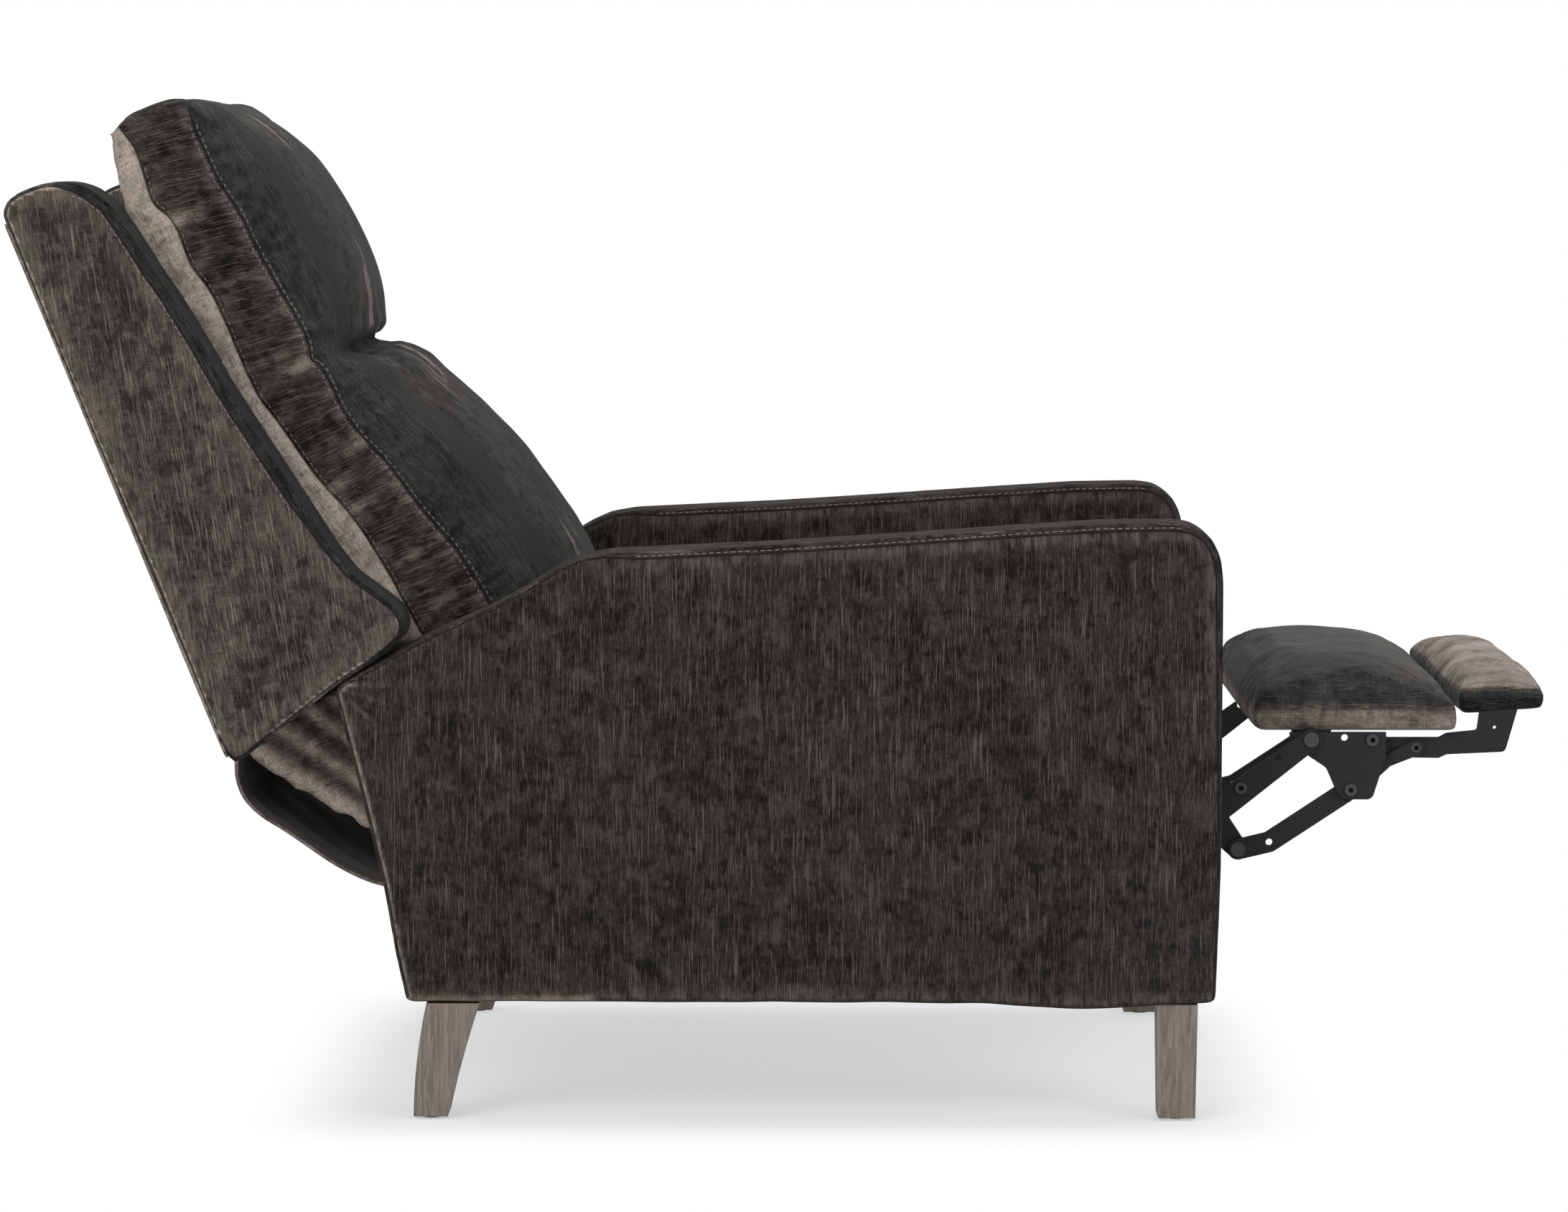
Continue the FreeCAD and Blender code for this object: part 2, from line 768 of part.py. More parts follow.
def back_brackets():
    """Steel straps beside the seat rails that turn up inside the box to the posts of the back."""
    depth, drop = size("seat_depth"), size("plate_drop")
    lap = depth * BRACKET_LAP_SHARE
    high = size("seat_frame_height") - SWING
    low = SWING - drop
    corners = [(seat_point(lap, high), SWING / 2), (seat_point(lap, low), SWING / 2),
               (seat_point(depth - 2 * SWING, low), SWING), (seat_point(depth, SWING), SWING / 2)]
    corners += [(point, SWING) for point in back_shares(BRACKET_EDGE_SHARES)]
    corners += [(point, SWING / 2) for point in back_shares(BRACKET_TOP_SHARES)]
    corners.append((seat_point(depth + 2 * SWING, high), SWING))
    slab_pair("back_bracket", rounded(list(reversed(corners))), "sizes.steel", layer_outer(BACK_LAYER))
    one_node("back_bracket")


BACK_FRAME_SHARES = (0.03, 0.9)


def lean_bar(start, stop, near, far):
    return plain([back_point(start, near), back_point(start, far),
                  back_point(stop, far), back_point(stop, near)])


def back_frame():
    """Two posts with three rails between them; the lowest rail ends at the steel brackets."""
    rear = size("outside_back") + size("soft_gap")
    front = rear + size("back_frame_depth")
    rail = size("back_frame_rail")
    low, high = (share * size("back_length") for share in BACK_FRAME_SHARES)
    outer = clear_half("wing_side_gap") - size("soft_gap")
    solid_piece("back_posts", both_sides(lean_bar(low, high, rear, front), outer - rail, outer))
    halves = [layer_outer_value(BACK_LAYER) - size("steel"), outer - rail, outer - rail]
    bars = []
    for start, half in zip((low, (low + high - rail) / 2, high - rail), halves):
        bars.append(across(lean_bar(start, start + rail, rear, front), half))
    solid_piece("back_cross_rails", Part.makeCompound(bars))


OUTSIDE_BACK_SHARES = (-0.008, 0.925)
OUTSIDE_BACK_FACE_SHARES = (0.2, 0.905)


def outside_back():
    low, high = (share * size("back_length") for share in OUTSIDE_BACK_SHARES)
    proud, front = (share * size("outside_back") for share in OUTSIDE_BACK_FACE_SHARES)
    soft = size("outside_back") / 3
    outline = rounded([(back_point(low, proud), soft), (back_point(low, front), 0),
                       (back_point(high, front), 0), (back_point(high, proud), soft)])
    return across(outline, size("chair_width") / 2 - size("wing_edge_radius"))


WING_SHARES = [
    ((0.962, 0.0255), 0.034), ((0.985, 0.106), 0.046), ((0.946, 0.187), 0.03), ((0.735, 0.21), 0.3),
    ((0.405, 0.275), 0.3), ((0.222, 0.318), 0.09), ((0.088, 0.384), 0.032), ((-0.006, 0.029), 0.026),
]


def wing_outline():
    length = size("back_length")
    corners = []
    for (up, out), radius in WING_SHARES:
        corners.append((back_point(up * length, out * length), radius * length))
    return rounded(corners)


CUSHION_SEAM_SHARES = [
    (0.0, 0.107), (0.94, 0.176), (1.015, 0.245), (1.0, 0.34), (0.81, 0.356), (0.557, 0.374),
    (0.35, 0.424), (0.126, 0.482), (0.0, 0.5), (-0.115, 0.51),
]
CUSHION_CROWN_SHARES = [
    (0.0, 0.107), (0.94, 0.176), (1.025, 0.25), (0.995, 0.365), (0.79, 0.482), (0.555, 0.45),
    (0.35, 0.592), (0.126, 0.654), (0.0, 0.662), (-0.115, 0.632),
]


def cushion_profile(grown):
    pairs = []
    for (seam_up, seam_out), (crown_up, crown_out) in zip(CUSHION_SEAM_SHARES, CUSHION_CROWN_SHARES):
        pairs.append((seam_up + (crown_up - seam_up) * grown, seam_out + (crown_out - seam_out) * grown))
    p = [Vector(x, z, 0) for x, z in back_shares(pairs)]
    return [(p[0], p[1]), (p[1], p[2], p[3]), (p[3], p[4], p[5]), (p[5], p[6], p[7]), (p[7], p[8], p[9]),
            (p[9], p[0])]


LOWER_BACK_SHARES = {"heel": (-0.206, 0.172), "belly": (-0.28, 0.25), "front": 0.62}


def lower_back():
    """The boxed lower back: padded cheeks outside the steel and a padded bottom between them."""
    length, gap, thin = size("back_length"), size("soft_gap"), size("outside_back")
    under_share, rear_share = CUSHION_SEAM_SHARES[0]
    front_under_share, front_seam_share = CUSHION_SEAM_SHARES[9]
    under, under_front = under_share * length - gap, front_under_share * length - gap
    frame_front = thin + size("back_frame_depth") + 2 * gap
    frame_low = BACK_FRAME_SHARES[0] * length - gap
    tip = back_point(-gap, thin + 2 * gap)
    heel, belly = back_shares([LOWER_BACK_SHARES["heel"], LOWER_BACK_SHARES["belly"]])
    skin = thin / 2
    seam = size("seat_depth") + skin / 3
    toe = seat_point(seam, 0)
    corners = [
        (tip, 0), (heel, thin), (belly, thin), (toe, 0),
        (seat_point(seam, size("seat_height") - 2 * size("seat_crown")), 0),
        (back_point(under_front, LOWER_BACK_SHARES["front"] * length), 0),
        (back_point(under_front, front_seam_share * length), 0),
        (back_point(under, rear_share * length), 0),
        (back_point(under, frame_front), 0),
        (back_point(frame_low, frame_front), 0),
        (back_point(frame_low, thin + 2 * gap), 0),
    ]
    inner = layer_outer_value(7) + gap
    solid_piece("lower_back_cheeks", both_sides(rounded(corners), inner, clear_half("cushion_side_gap")))
    raised = [(point[0], point[1] + skin) for point in (toe, belly, heel, tip)]
    bottom = [(tip, 0), (heel, thin), (belly, thin), (toe, 0), (raised[0], 0), (raised[1], thin),
              (raised[2], thin), (raised[3], 0)]
    solid_piece("lower_back_bottom", across(rounded(bottom), inner))


def back_cushion():
    return crowned(cushion_profile, clear_half("cushion_side_gap"), SOFT_STATION_SHARES)


back_brackets()
back_frame()
solid_piece("outside_back", outside_back())
lower_back()
solid_piece("back_cushion", back_cushion())
slab_pair("wing", wing_outline(), "sizes.arm_thickness + sizes.wing_side_gap", "sizes.chair_width / 2",
          edge_radius="sizes.wing_edge_radius")


# Footrest linkage: flat bars in layers, one set on each side.

bar_pair("drive_link", ["drive", "elbow"], 6, ["drive", "elbow"])
bar_pair("support_link", ["support", "knee", "cross"], 5, ["support"])
bar_pair("long_link", ["elbow", "bracket", "cross"], 2, ["elbow", "bracket", "cross", "stop_stud"],
         spare=["long_spare"])
guide_stops = [(pivot("knee"), BAR), (pivot("guide_bend"), BAR), (pivot("guide"), BAR),
               (pivot("control_low"), TIP)]
guide_holes = [(pivot("knee"), HOLE), (pivot("guide"), HOLE), (pivot("guide_bend"), SPARE_HOLE)]
slab_pair("guide_link", bent_bar(guide_stops), "sizes.steel", layer_outer(4), guide_holes)
bar_pair("flipper_control", ["control_low", "control_high"], 5, ["control_high"], [TIP, SLIM])
one_node("flipper_control")
rivets("long_link_rivets", [(pivot("elbow"), 2, 6, "outer"), (pivot("cross"), 2, 4, "outer"),
                            (pivot("stop_stud"), 2, 2, "screw")])
rivets("footrest_rivets", [(pivot("bracket"), 2, 3, "outer"), (pivot("guide"), 3, 4, "screw"),
                           (pivot("flipper"), 3, 6, "screw")])
rivets("guide_link_rivets", [(pivot("knee"), 4, 4, "outer")])
rivets("flipper_rivets", [(pivot("control_high"), 5, 6, "flush_screw")])

DRIVE_TUBE_SHARE = 0.55
drive_low, drive_high = pivot("elbow"), pivot("drive")
tube("drive_tube", drive_high[0] + (drive_low[0] - drive_high[0]) * DRIVE_TUBE_SHARE,
     drive_high[1] + (drive_low[1] - drive_high[1]) * DRIVE_TUBE_SHARE, layer_outer(6) + " - sizes.steel")


# Footrest: bracket, board and pad, then the flipper beyond it with its own plate, board and pad.

def board_underside():
    """Rear lower corner of the footrest board, over the bracket pivot."""
    x, z = pivot("bracket")
    return (x - size("footrest_back"), z + size("footrest_seat_z"))


BRACKET_PLATE_SHARES = [
    ((0.1, 0.0), 0.0), ((0.1, -0.031), 0.015), ((0.198, -0.096), 0.03), ((0.22, -0.147), 0.03),
    ((0.243, -0.181), 0.02), ((0.321, -0.181), 0.02), ((0.357, -0.066), 0.02), ((0.357, 0.0), 0.0),
]
BRACKET_SPARE_HOLE_SHARES = (0.24625, -0.015)


def bracket_plate():
    rear, top = board_underside()
    reach = size("linkage_reach")
    corners = []
    for (along, up), radius in BRACKET_PLATE_SHARES:
        corners.append(((rear + along * reach, top + up * reach), radius * reach))
    along, up = BRACKET_SPARE_HOLE_SHARES
    holes = [(pivot("bracket"), HOLE), (pivot("guide"), HOLE), (pivot("flipper"), HOLE),
             ((rear + along * reach, top + up * reach), SPARE_HOLE)]
    slab_pair("footrest_bracket", rounded(corners), "sizes.steel", layer_outer(3), holes)


PAD_SHARES = {"draw": 0.5, "side": 0.5, "shoulder": 0.9, "dip": 0.12, "crown": 0.45}


def pad_profile_maker(low, length, edge, crown, fall_share):
    """A pad seen from the side: flat below, drawn in at its ends, its top rising to a crown."""
    (x, z) = low
    shares = PAD_SHARES

    def profile(grown):
        draw = edge * (1 - grown) * shares["draw"]
        high = z + edge + (crown - edge) * grown
        fall = (crown - edge) * fall_share * grown
        points = [(x, z), (x + draw / 5, z + edge * shares["side"]),
                  (x + edge * shares["shoulder"] + draw, high - edge * shares["dip"]),
                  (x + length * shares["crown"], high), (x + length - edge - draw, high - fall),
                  (x + length - draw / 5, z + edge * shares["side"]), (x + length, z)]
        p = [Vector(px, pz, 0) for px, pz in points]
        return [(p[0], p[1], p[2]), (p[2], p[3], p[4]), (p[4], p[5], p[6]), (p[6], p[0])]
    return profile


FOOTREST_FALL_SHARE, FLIPPER_FALL_SHARE = 0.5, 0.9


def footrest():
    rear, low = board_underside()
    length, board, edge = (size(a) for a in ("footrest_length", "board", "pad_edge"))
    half = clear_half("footrest_side_gap")
    wide = layer_outer_value(3)
    wood = Part.makeBox(length - 2 * board, 2 * wide, board, Vector(rear + board, -wide, low))
    solid_piece("footrest_board", wood)
    profile = pad_profile_maker((rear, low + board + size("soft_gap") / 2), length, edge,
                                edge + size("pad_crown"), FOOTREST_FALL_SHARE)
    solid_piece("footrest_pad", crowned(profile, half, SOFT_STATION_SHARES))


bracket_plate()
footrest()


# Corners of the flipper plate from its hinge, first below to the far end, then back along the top.
FLIPPER_BELOW_SHARES = [
    ((-0.0188, 0.0188), 0.0168), ((-0.0188, -0.0188), 0.0168), ((0.05, -0.0505), 0.02),
    ((0.181, -0.0527), 0.01), ((0.202, -0.0427), 0.01), ((0.3585, -0.0355), 0.015),
]
FLIPPER_ABOVE_SHARES = [
    ((0.2825, 0.0228), 0.008), ((0.202, 0.0145), 0.005), ((0.181, 0.0033), 0.01), ((0.045, 0.003), 0.02),
]
FLIPPER_BOARD_SHARES = (0.225, 0.67)
FLIPPER_SPARE_HOLE_SHARES = (0.33, 0.03)


def flipper():
    """The flipper's board and pad, leaned a little up from the footrest, and its steel plates under them."""
    rear, low = board_underside()
    start = rear + size("footrest_length") + size("flipper_gap")
    base = low + size("flipper_rise")
    length, board, edge = (size(a) for a in ("flipper_length", "flipper_board", "flipper_edge"))
    half = clear_half("flipper_side_gap")
    hinge, across_axis, lean = Vector(start, 0, base), Vector(0, 1, 0), -size("flipper_tilt_angle")
    wood = Part.makeBox(length - board, 2 * half, board, Vector(start, -half, base))
    wood.rotate(hinge, across_axis, lean)
    solid_piece("flipper_board", wood)
    profile = pad_profile_maker((start, base + board + size("soft_gap") / 2), length, edge,
                                edge + size("flipper_crown"), FLIPPER_FALL_SHARE)
    pad = crowned(profile, half, SOFT_STATION_SHARES)
    pad.rotate(hinge, across_axis, lean)
    solid_piece("flipper_pad", pad)
    tilt = math.radians(size("flipper_tilt_angle"))
    meets = []
    for share in reversed(FLIPPER_BOARD_SHARES):
        out = length * share
        meets.append(((start + out * math.cos(tilt), base + out * math.sin(tilt)), 0))
    hinge_at, reach = pivot("flipper"), size("linkage_reach")

    def placed(group):
        return [((hinge_at[0] + along * reach, hinge_at[1] + up * reach), turn * reach)
                for (along, up), turn in group]
    corners = placed(FLIPPER_BELOW_SHARES) + meets + placed(FLIPPER_ABOVE_SHARES)
    holes = [(hinge_at, HOLE), (pivot("control_high"), HOLE)]
    holes += [(place, SPARE_HOLE / 2) for place, turn in placed([(FLIPPER_SPARE_HOLE_SHARES, 0)])]
    slab_pair("flipper_plate", rounded(corners), "sizes.steel", layer_outer(6), holes)


flipper()


# Tail: a loose cloth from the bottom of the outside back to the top of the lower rear panel.

TAIL_SHARES = {"sag": 0.11, "lowest": 0.45}


def tail():
    thick = Vector(0, size("cloth"), 0)
    low = OUTSIDE_BACK_SHARES[0] * size("back_length") - size("cloth") - size("soft_gap")
    top = back_point(low, size("outside_back") / 3)
    bottom = (arm_rear_x(size("rear_panel_top")) - size("rear_panel_proud") + size("cloth"),
              size("rear_panel_top") + size("soft_gap"))
    start, stop = Vector(top[0], top[1], 0), Vector(bottom[0], bottom[1], 0)
    span = stop - start
    middle = start + span * TAIL_SHARES["lowest"] + Vector(span.y, -span.x, 0) * TAIL_SHARES["sag"]
    outline = [(start, middle, stop), (stop, stop + thick), (stop + thick, middle + thick, start + thick),
               (start + thick, start)]
    return across(outline, clear_half("cushion_side_gap"))


solid_piece("tail_cloth", tail())

doc.recompute()

faults = []
for thing in doc.Objects:
    if "Invalid" in thing.State or "Error" in thing.State:
        faults.append("%s: %s" % (thing.Name, thing.State))
for piece in pieces:
    shape = piece.Shape
    if shape.isNull() or not shape.isValid() or not shape.Solids:
        faults.append("%s has no valid solid" % piece.Label)
    elif shape.Volume <= 0:
        faults.append("%s has no volume" % piece.Label)
if faults:
    raise SystemExit("\n".join(faults))

os.makedirs("parts", exist_ok=True)
for piece in pieces:
    piece.Shape.exportStep("parts/%s.step" % piece.Label)
print(len(pieces), "pieces written")
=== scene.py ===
import math

import bpy
import numpy as np
from mathutils import Matrix, Vector, noise


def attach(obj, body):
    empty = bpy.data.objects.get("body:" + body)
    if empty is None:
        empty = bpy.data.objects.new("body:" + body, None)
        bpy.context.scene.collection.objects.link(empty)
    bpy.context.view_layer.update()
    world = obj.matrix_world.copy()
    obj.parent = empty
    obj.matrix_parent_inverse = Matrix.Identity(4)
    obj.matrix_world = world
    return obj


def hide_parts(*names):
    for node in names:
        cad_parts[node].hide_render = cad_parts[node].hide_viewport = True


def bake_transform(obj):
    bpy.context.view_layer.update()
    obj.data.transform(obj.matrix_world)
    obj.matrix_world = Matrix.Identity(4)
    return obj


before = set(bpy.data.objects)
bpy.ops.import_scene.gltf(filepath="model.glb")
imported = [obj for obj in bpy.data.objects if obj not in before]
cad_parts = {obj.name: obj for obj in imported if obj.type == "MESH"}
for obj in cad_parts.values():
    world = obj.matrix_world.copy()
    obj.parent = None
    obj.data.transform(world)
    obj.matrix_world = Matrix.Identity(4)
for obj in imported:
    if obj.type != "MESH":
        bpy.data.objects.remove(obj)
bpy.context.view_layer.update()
scene = bpy.context.scene

# ---------------------------------------------------------------- camera

camera_data = bpy.data.cameras.new("photo_camera")
camera_data.lens = 117.25
camera_data.sensor_width = 36.0
camera = bpy.data.objects.new("photo_camera", camera_data)
scene.collection.objects.link(camera)
CAMERA_PLACE = Vector((0.0625, -5.69, 1.011))
TILT, YAW, ROLL = math.radians(4.994), math.radians(0.698), math.radians(0.014)
camera.location = CAMERA_PLACE
camera.rotation_euler = (Matrix.Rotation(YAW, 3, "Z") @ Matrix.Rotation(math.pi / 2 - TILT, 3, "X")
                         @ Matrix.Rotation(ROLL, 3, "Z")).to_euler()
camera_data.clip_end = 60.0
scene.camera = camera


# ---------------------------------------------------------------- shader groups

class Wires:
    """Short calls for making nodes and joining them in one tree."""

    def __init__(self, tree):
        self.tree = tree

    def add(self, kind, **values):
        node = self.tree.nodes.new(kind)
        for name, value in values.items():
            setattr(node, name, value)
        return node

    def feed(self, target, source):
        if isinstance(source, bpy.types.NodeSocket):
            self.tree.links.new(source, target)
        else:
            target.default_value = source

    def sum(self, kind, first, second=0.0, third=0.0):
        node = self.add("ShaderNodeMath", operation=kind)
        for plug, value in zip(node.inputs, (first, second, third)):
            self.feed(plug, value)
        return node.outputs[0]

    def times(self, first, second, plus=None):
        if plus is None:
            return self.sum("MULTIPLY", first, second)
        return self.sum("MULTIPLY_ADD", first, second, plus)

    def spread(self, value, low, high, to_low=0.0, to_high=1.0):
        node = self.add("ShaderNodeMapRange", interpolation_type="SMOOTHSTEP")
        for plug, number in zip(node.inputs, (value, low, high, to_low, to_high)):
            self.feed(plug, number)
        return node.outputs[0]

    def blend(self, share, first, second, way="MIX"):
        node = self.add("ShaderNodeMix", data_type="RGBA", blend_type=way)
        self.feed(node.inputs[0], share)
        self.feed(node.inputs[6], first)
        self.feed(node.inputs[7], second)
        return node.outputs[2]

    def clouds(self, place, scale, detail=2.0, rough=0.5, twist=0.0):
        node = self.add("ShaderNodeTexNoise")
        self.feed(node.inputs["Vector"], place)
        self.feed(node.inputs["Scale"], scale)
        self.feed(node.inputs["Detail"], detail)
        self.feed(node.inputs["Roughness"], rough)
        self.feed(node.inputs["Distortion"], twist)
        return node.outputs["Fac"]

    def stretch(self, place, across, along, up=1.0, shift=0.0):
        node = self.add("ShaderNodeMapping")
        self.feed(node.inputs["Vector"], place)
        node.inputs["Scale"].default_value = (across, along, up)
        node.inputs["Location"].default_value = (shift, shift, shift)
        return node.outputs[0]

    def grey(self, value):
        node = self.add("ShaderNodeCombineColor")
        for plug in node.inputs[:3]:
            self.feed(plug, value)
        return node.outputs[0]

    def attribute(self, name, plug):
        return self.add("ShaderNodeAttribute", attribute_name=name).outputs[plug]

    def object_place(self):
        return self.add("ShaderNodeTexCoord").outputs["Object"]


def shader_group(name, inputs, outputs):
    """An empty group, its wires, the sockets it is given and the sockets of its result."""
    group = bpy.data.node_groups.new(name, "ShaderNodeTree")
    for label, kind, value in inputs:
        plug = group.interface.new_socket(name=label, in_out="INPUT", socket_type=kind)
        if value is not None:
            plug.default_value = value
    for label, kind in outputs:
        group.interface.new_socket(name=label, in_out="OUTPUT", socket_type=kind)
    wires = Wires(group)
    return group, wires, wires.add("NodeGroupInput").outputs, wires.add("NodeGroupOutput").inputs


# Each colour of the velvet, and the painted dark, cool sheen and the painted light sheen that it turns to where its
# tone is -1 and where it is 1.
VELVET_PAINTED_SHEEN = (
    ("Pile", (0.024, 0.0258, 0.0272, 1), (0.385, 0.327, 0.277, 1)),
    ("Crushed", (0.0110, 0.0120, 0.0128, 1), (0.085, 0.07, 0.059, 1)),
    ("Slub", (0.062, 0.063, 0.062, 1), (0.45, 0.385, 0.33, 1)),
)
# Near black: the painted shade in the groove of a seam.
SEAM_PAINTED_SHADE = (0.006, 0.006, 0.006, 1)
DUST = (0.016, 0.017, 0.02, 1)


def make_slub_velvet():
    """Pile cloth with slub threads along it, crushed patches and a fine weave. Its tone is painted light and shade: at
    -1 a painted dark, cool sheen where the pile faces away from the light, at 1 a painted light sheen where it faces
    towards it, and below -1 painted shade that is darker still."""
    group, w, given, result = shader_group("slub_velvet", [
        ("Place", "NodeSocketVector", None),
        ("Tone", "NodeSocketFloat", 0.0),
        ("Pile", "NodeSocketColor", (0.04, 0.035, 0.03, 1)),
        ("Crushed", "NodeSocketColor", (0.012, 0.011, 0.011, 1)),
        ("Slub", "NodeSocketColor", (0.2, 0.17, 0.14, 1)),
        ("Slub Amount", "NodeSocketFloat", 1.0),
        ("Crush Amount", "NodeSocketFloat", 1.0),
        ("Patch Size", "NodeSocketFloat", 1.0),
    ], [("Color", "NodeSocketColor"), ("Height", "NodeSocketFloat")])
    place = given["Place"]
    long_slub = w.spread(w.clouds(w.stretch(place, 950, 22), 1.0, 0.8, 0.5), 0.605, 0.67)
    short_slub = w.spread(w.clouds(w.stretch(place, 1400, 80, 1, 3.1), 1.0, 1.0, 0.5), 0.565, 0.655)
    dark_thread = w.spread(w.clouds(w.stretch(place, 950, 60, 1, 9.2), 1.0, 1.0, 0.5), 0.46, 0.34)
    fine = w.clouds(w.stretch(place, 1500, 210, 1, 7.7), 1.0, 2.0, 0.65)
    cross = w.clouds(w.stretch(place, 90, 1050, 1, 5.3), 1.0, 2.0, 0.6)
    grain = w.clouds(place, 1700.0, 2.0, 0.75)
    patch_place = w.add("ShaderNodeVectorMath", operation="SCALE")
    w.feed(patch_place.inputs[0], w.stretch(place, 1.0, 0.8))
    w.feed(patch_place.inputs["Scale"], given["Patch Size"])
    patch = patch_place.outputs[0]
    broad = w.clouds(patch, 12.0, 2.0, 0.5, 0.2)
    ragged = w.clouds(w.stretch(patch, 0.9, 1.3), 50.0, 3.0, 0.55, 0.25)
    broken = w.clouds(w.stretch(patch, 260.0, 90.0), 1.0, 3.0, 0.65)
    crush = w.times(broad, 0.3, w.times(ragged, 0.5, w.times(broken, 0.26)))
    crush = w.spread(crush, 0.485, 0.615)
    lit = w.spread(w.clouds(patch, 27.0, 3.0, 0.6, 0.3), 0.5, 0.7)
    weave = w.times(fine, 0.58, w.times(cross, 0.42, w.times(grain, 0.22)))
    tone = given["Tone"]
    # Painted sheen: dark and cool below a tone of 0, light above it.
    dark = w.times(tone, -1.0)
    painted_dark_on, painted_light_on = w.spread(dark, 0.0, 1.0), w.spread(tone, 0.0, 1.0)
    pile, crushed, slub = [w.blend(painted_light_on, w.blend(painted_dark_on, given[name], painted_dark_sheen), painted_light_sheen)
                           for name, painted_dark_sheen, painted_light_sheen in VELVET_PAINTED_SHEEN]
    lying = w.times(crush, w.spread(tone, 0.0, 1.0, 1.0, 0.6))
    colour = w.blend(w.times(lying, given["Crush Amount"]), pile, crushed)
    colour = w.blend(w.times(lit, w.times(given["Crush Amount"], 0.3)), colour, slub)
    # Below a tone of -1 the weave is painted darker still: painted shade.
    dim = w.times(w.spread(weave, 0.42, 0.82, 0.5, 1.6),
                  w.times(dark_thread, -0.3, w.spread(dark, 1.0, 2.0, 1.05, 0.35)))
    colour = w.blend(1.0, colour, w.grey(dim), "MULTIPLY")
    slubs = w.times(short_slub, 0.42, w.times(long_slub, 0.62))
    slubs = w.times(slubs, w.sum("SUBTRACT", 1.0, w.times(crush, 0.45)))
    slubs = w.sum("MINIMUM", w.times(slubs, given["Slub Amount"]), 0.85)
    w.feed(result["Color"], w.blend(slubs, colour, slub))
    height = w.times(slubs, 0.5, w.times(crush, -0.5, w.times(weave, 0.8)))
    w.feed(result["Height"], height)
    return group


def make_seam_lines():
    """Reads two signed distances to seams: a dark sunk line of painted shade on each, and painted sheen and shade of
    its own beyond each.
    """
    group, w, given, result = shader_group("seam_lines", [
        ("Edge", "NodeSocketVector", None),
        ("Base Tone", "NodeSocketFloat", 0.0),
        ("Tone Past First", "NodeSocketFloat", 0.0),
        ("Tone Past Second", "NodeSocketFloat", 0.0),
        ("Line Width", "NodeSocketFloat", 0.0011),
    ], [("Tone", "NodeSocketFloat"), ("Seam", "NodeSocketFloat"), ("Past", "NodeSocketFloat")])
    parts = w.add("ShaderNodeSeparateXYZ")
    w.feed(parts.inputs[0], given["Edge"])
    tone = given["Base Tone"]
    lines, beyond = [], []
    for n, name in enumerate(("Tone Past First", "Tone Past Second")):
        past = w.spread(parts.outputs[n], -0.0009, 0.0009)
        beyond.append(past)
        tone = w.times(past, given[name], tone)
        away = w.sum("DIVIDE", w.sum("ABSOLUTE", parts.outputs[n]), given["Line Width"])
        lines.append(w.spread(away, 0.2, 1.3, 1.0, 0.0))
    w.feed(result["Tone"], tone)
    w.feed(result["Seam"], w.sum("MAXIMUM", lines[0], lines[1]))
    w.feed(result["Past"], w.sum("MAXIMUM", beyond[0], beyond[1]))
    return group


def make_seam_shade():
    """Pile that turns lighter where the piece says so, and painted shade dark in a seam."""
    group, w, given, result = shader_group("seam_shade", [
        ("Color", "NodeSocketColor", (0.05, 0.05, 0.05, 1)),
        ("Seam", "NodeSocketFloat", 0.0),
        ("Rub", "NodeSocketFloat", 0.0),
        ("Rubbed", "NodeSocketColor", (0.2, 0.17, 0.15, 1)),
        ("Place", "NodeSocketVector", None),
    ], [("Color", "NodeSocketColor")])
    break_up = w.clouds(w.stretch(given["Place"], 1.0, 0.3), 110.0, 4.0, 0.65, 0.4)
    threads = w.clouds(w.stretch(given["Place"], 900.0, 60.0), 1.0, 2.0)
    # Rub: how far the pile turns to the lighter colour, along edges and seams and as a painted highlight on the crests
    # of folds and ripples.
    rub = w.times(given["Rub"], w.spread(break_up, 0.36, 0.62, 0.1, 1.0))
    rub = w.times(rub, w.spread(threads, 0.3, 0.62, 0.35, 1.0))
    colour = w.blend(rub, given["Color"], given["Rubbed"])
    # In a seam the pile is painted dark: painted shade in its groove.
    colour = w.blend(w.times(given["Seam"], 0.65), colour, SEAM_PAINTED_SHADE)
    w.feed(result["Color"], colour)
    return group


def make_wood_grain():
    """Grey-washed open grain: long rings, dark pores and a pale wash caught in them."""
    group, w, given, result = shader_group("wood_grain", [
        ("Place", "NodeSocketVector", None),
        ("Wood", "NodeSocketColor", (0.2, 0.16, 0.13, 1)),
        ("Dark Grain", "NodeSocketColor", (0.09, 0.07, 0.055, 1)),
        ("Wash", "NodeSocketColor", (0.3, 0.27, 0.24, 1)),
    ], [("Color", "NodeSocketColor"), ("Height", "NodeSocketFloat")])
    place = given["Place"]
    rings = w.clouds(w.stretch(place, 55, 55, 4.5), 1.0, 3.0, 0.6, 1.3)
    bands = w.sum("FRACT", w.times(rings, 7.0))
    bands = w.spread(bands, 0.1, 0.95)
    pores = w.spread(w.clouds(w.stretch(place, 900, 900, 32), 1.0, 2.0, 0.6), 0.56, 0.7)
    wash = w.spread(w.clouds(w.stretch(place, 210, 210, 16, 2.0), 1.0, 3.0, 0.6), 0.42, 0.66)
    colour = w.blend(w.times(bands, 0.7), given["Wood"], given["Dark Grain"])
    colour = w.blend(w.times(wash, 0.5), colour, given["Wash"])
    colour = w.blend(w.times(pores, 0.65), colour, given["Dark Grain"])
    w.feed(result["Color"], colour)
    w.feed(result["Height"], w.times(pores, -0.8, w.times(bands, -0.35)))
    return group


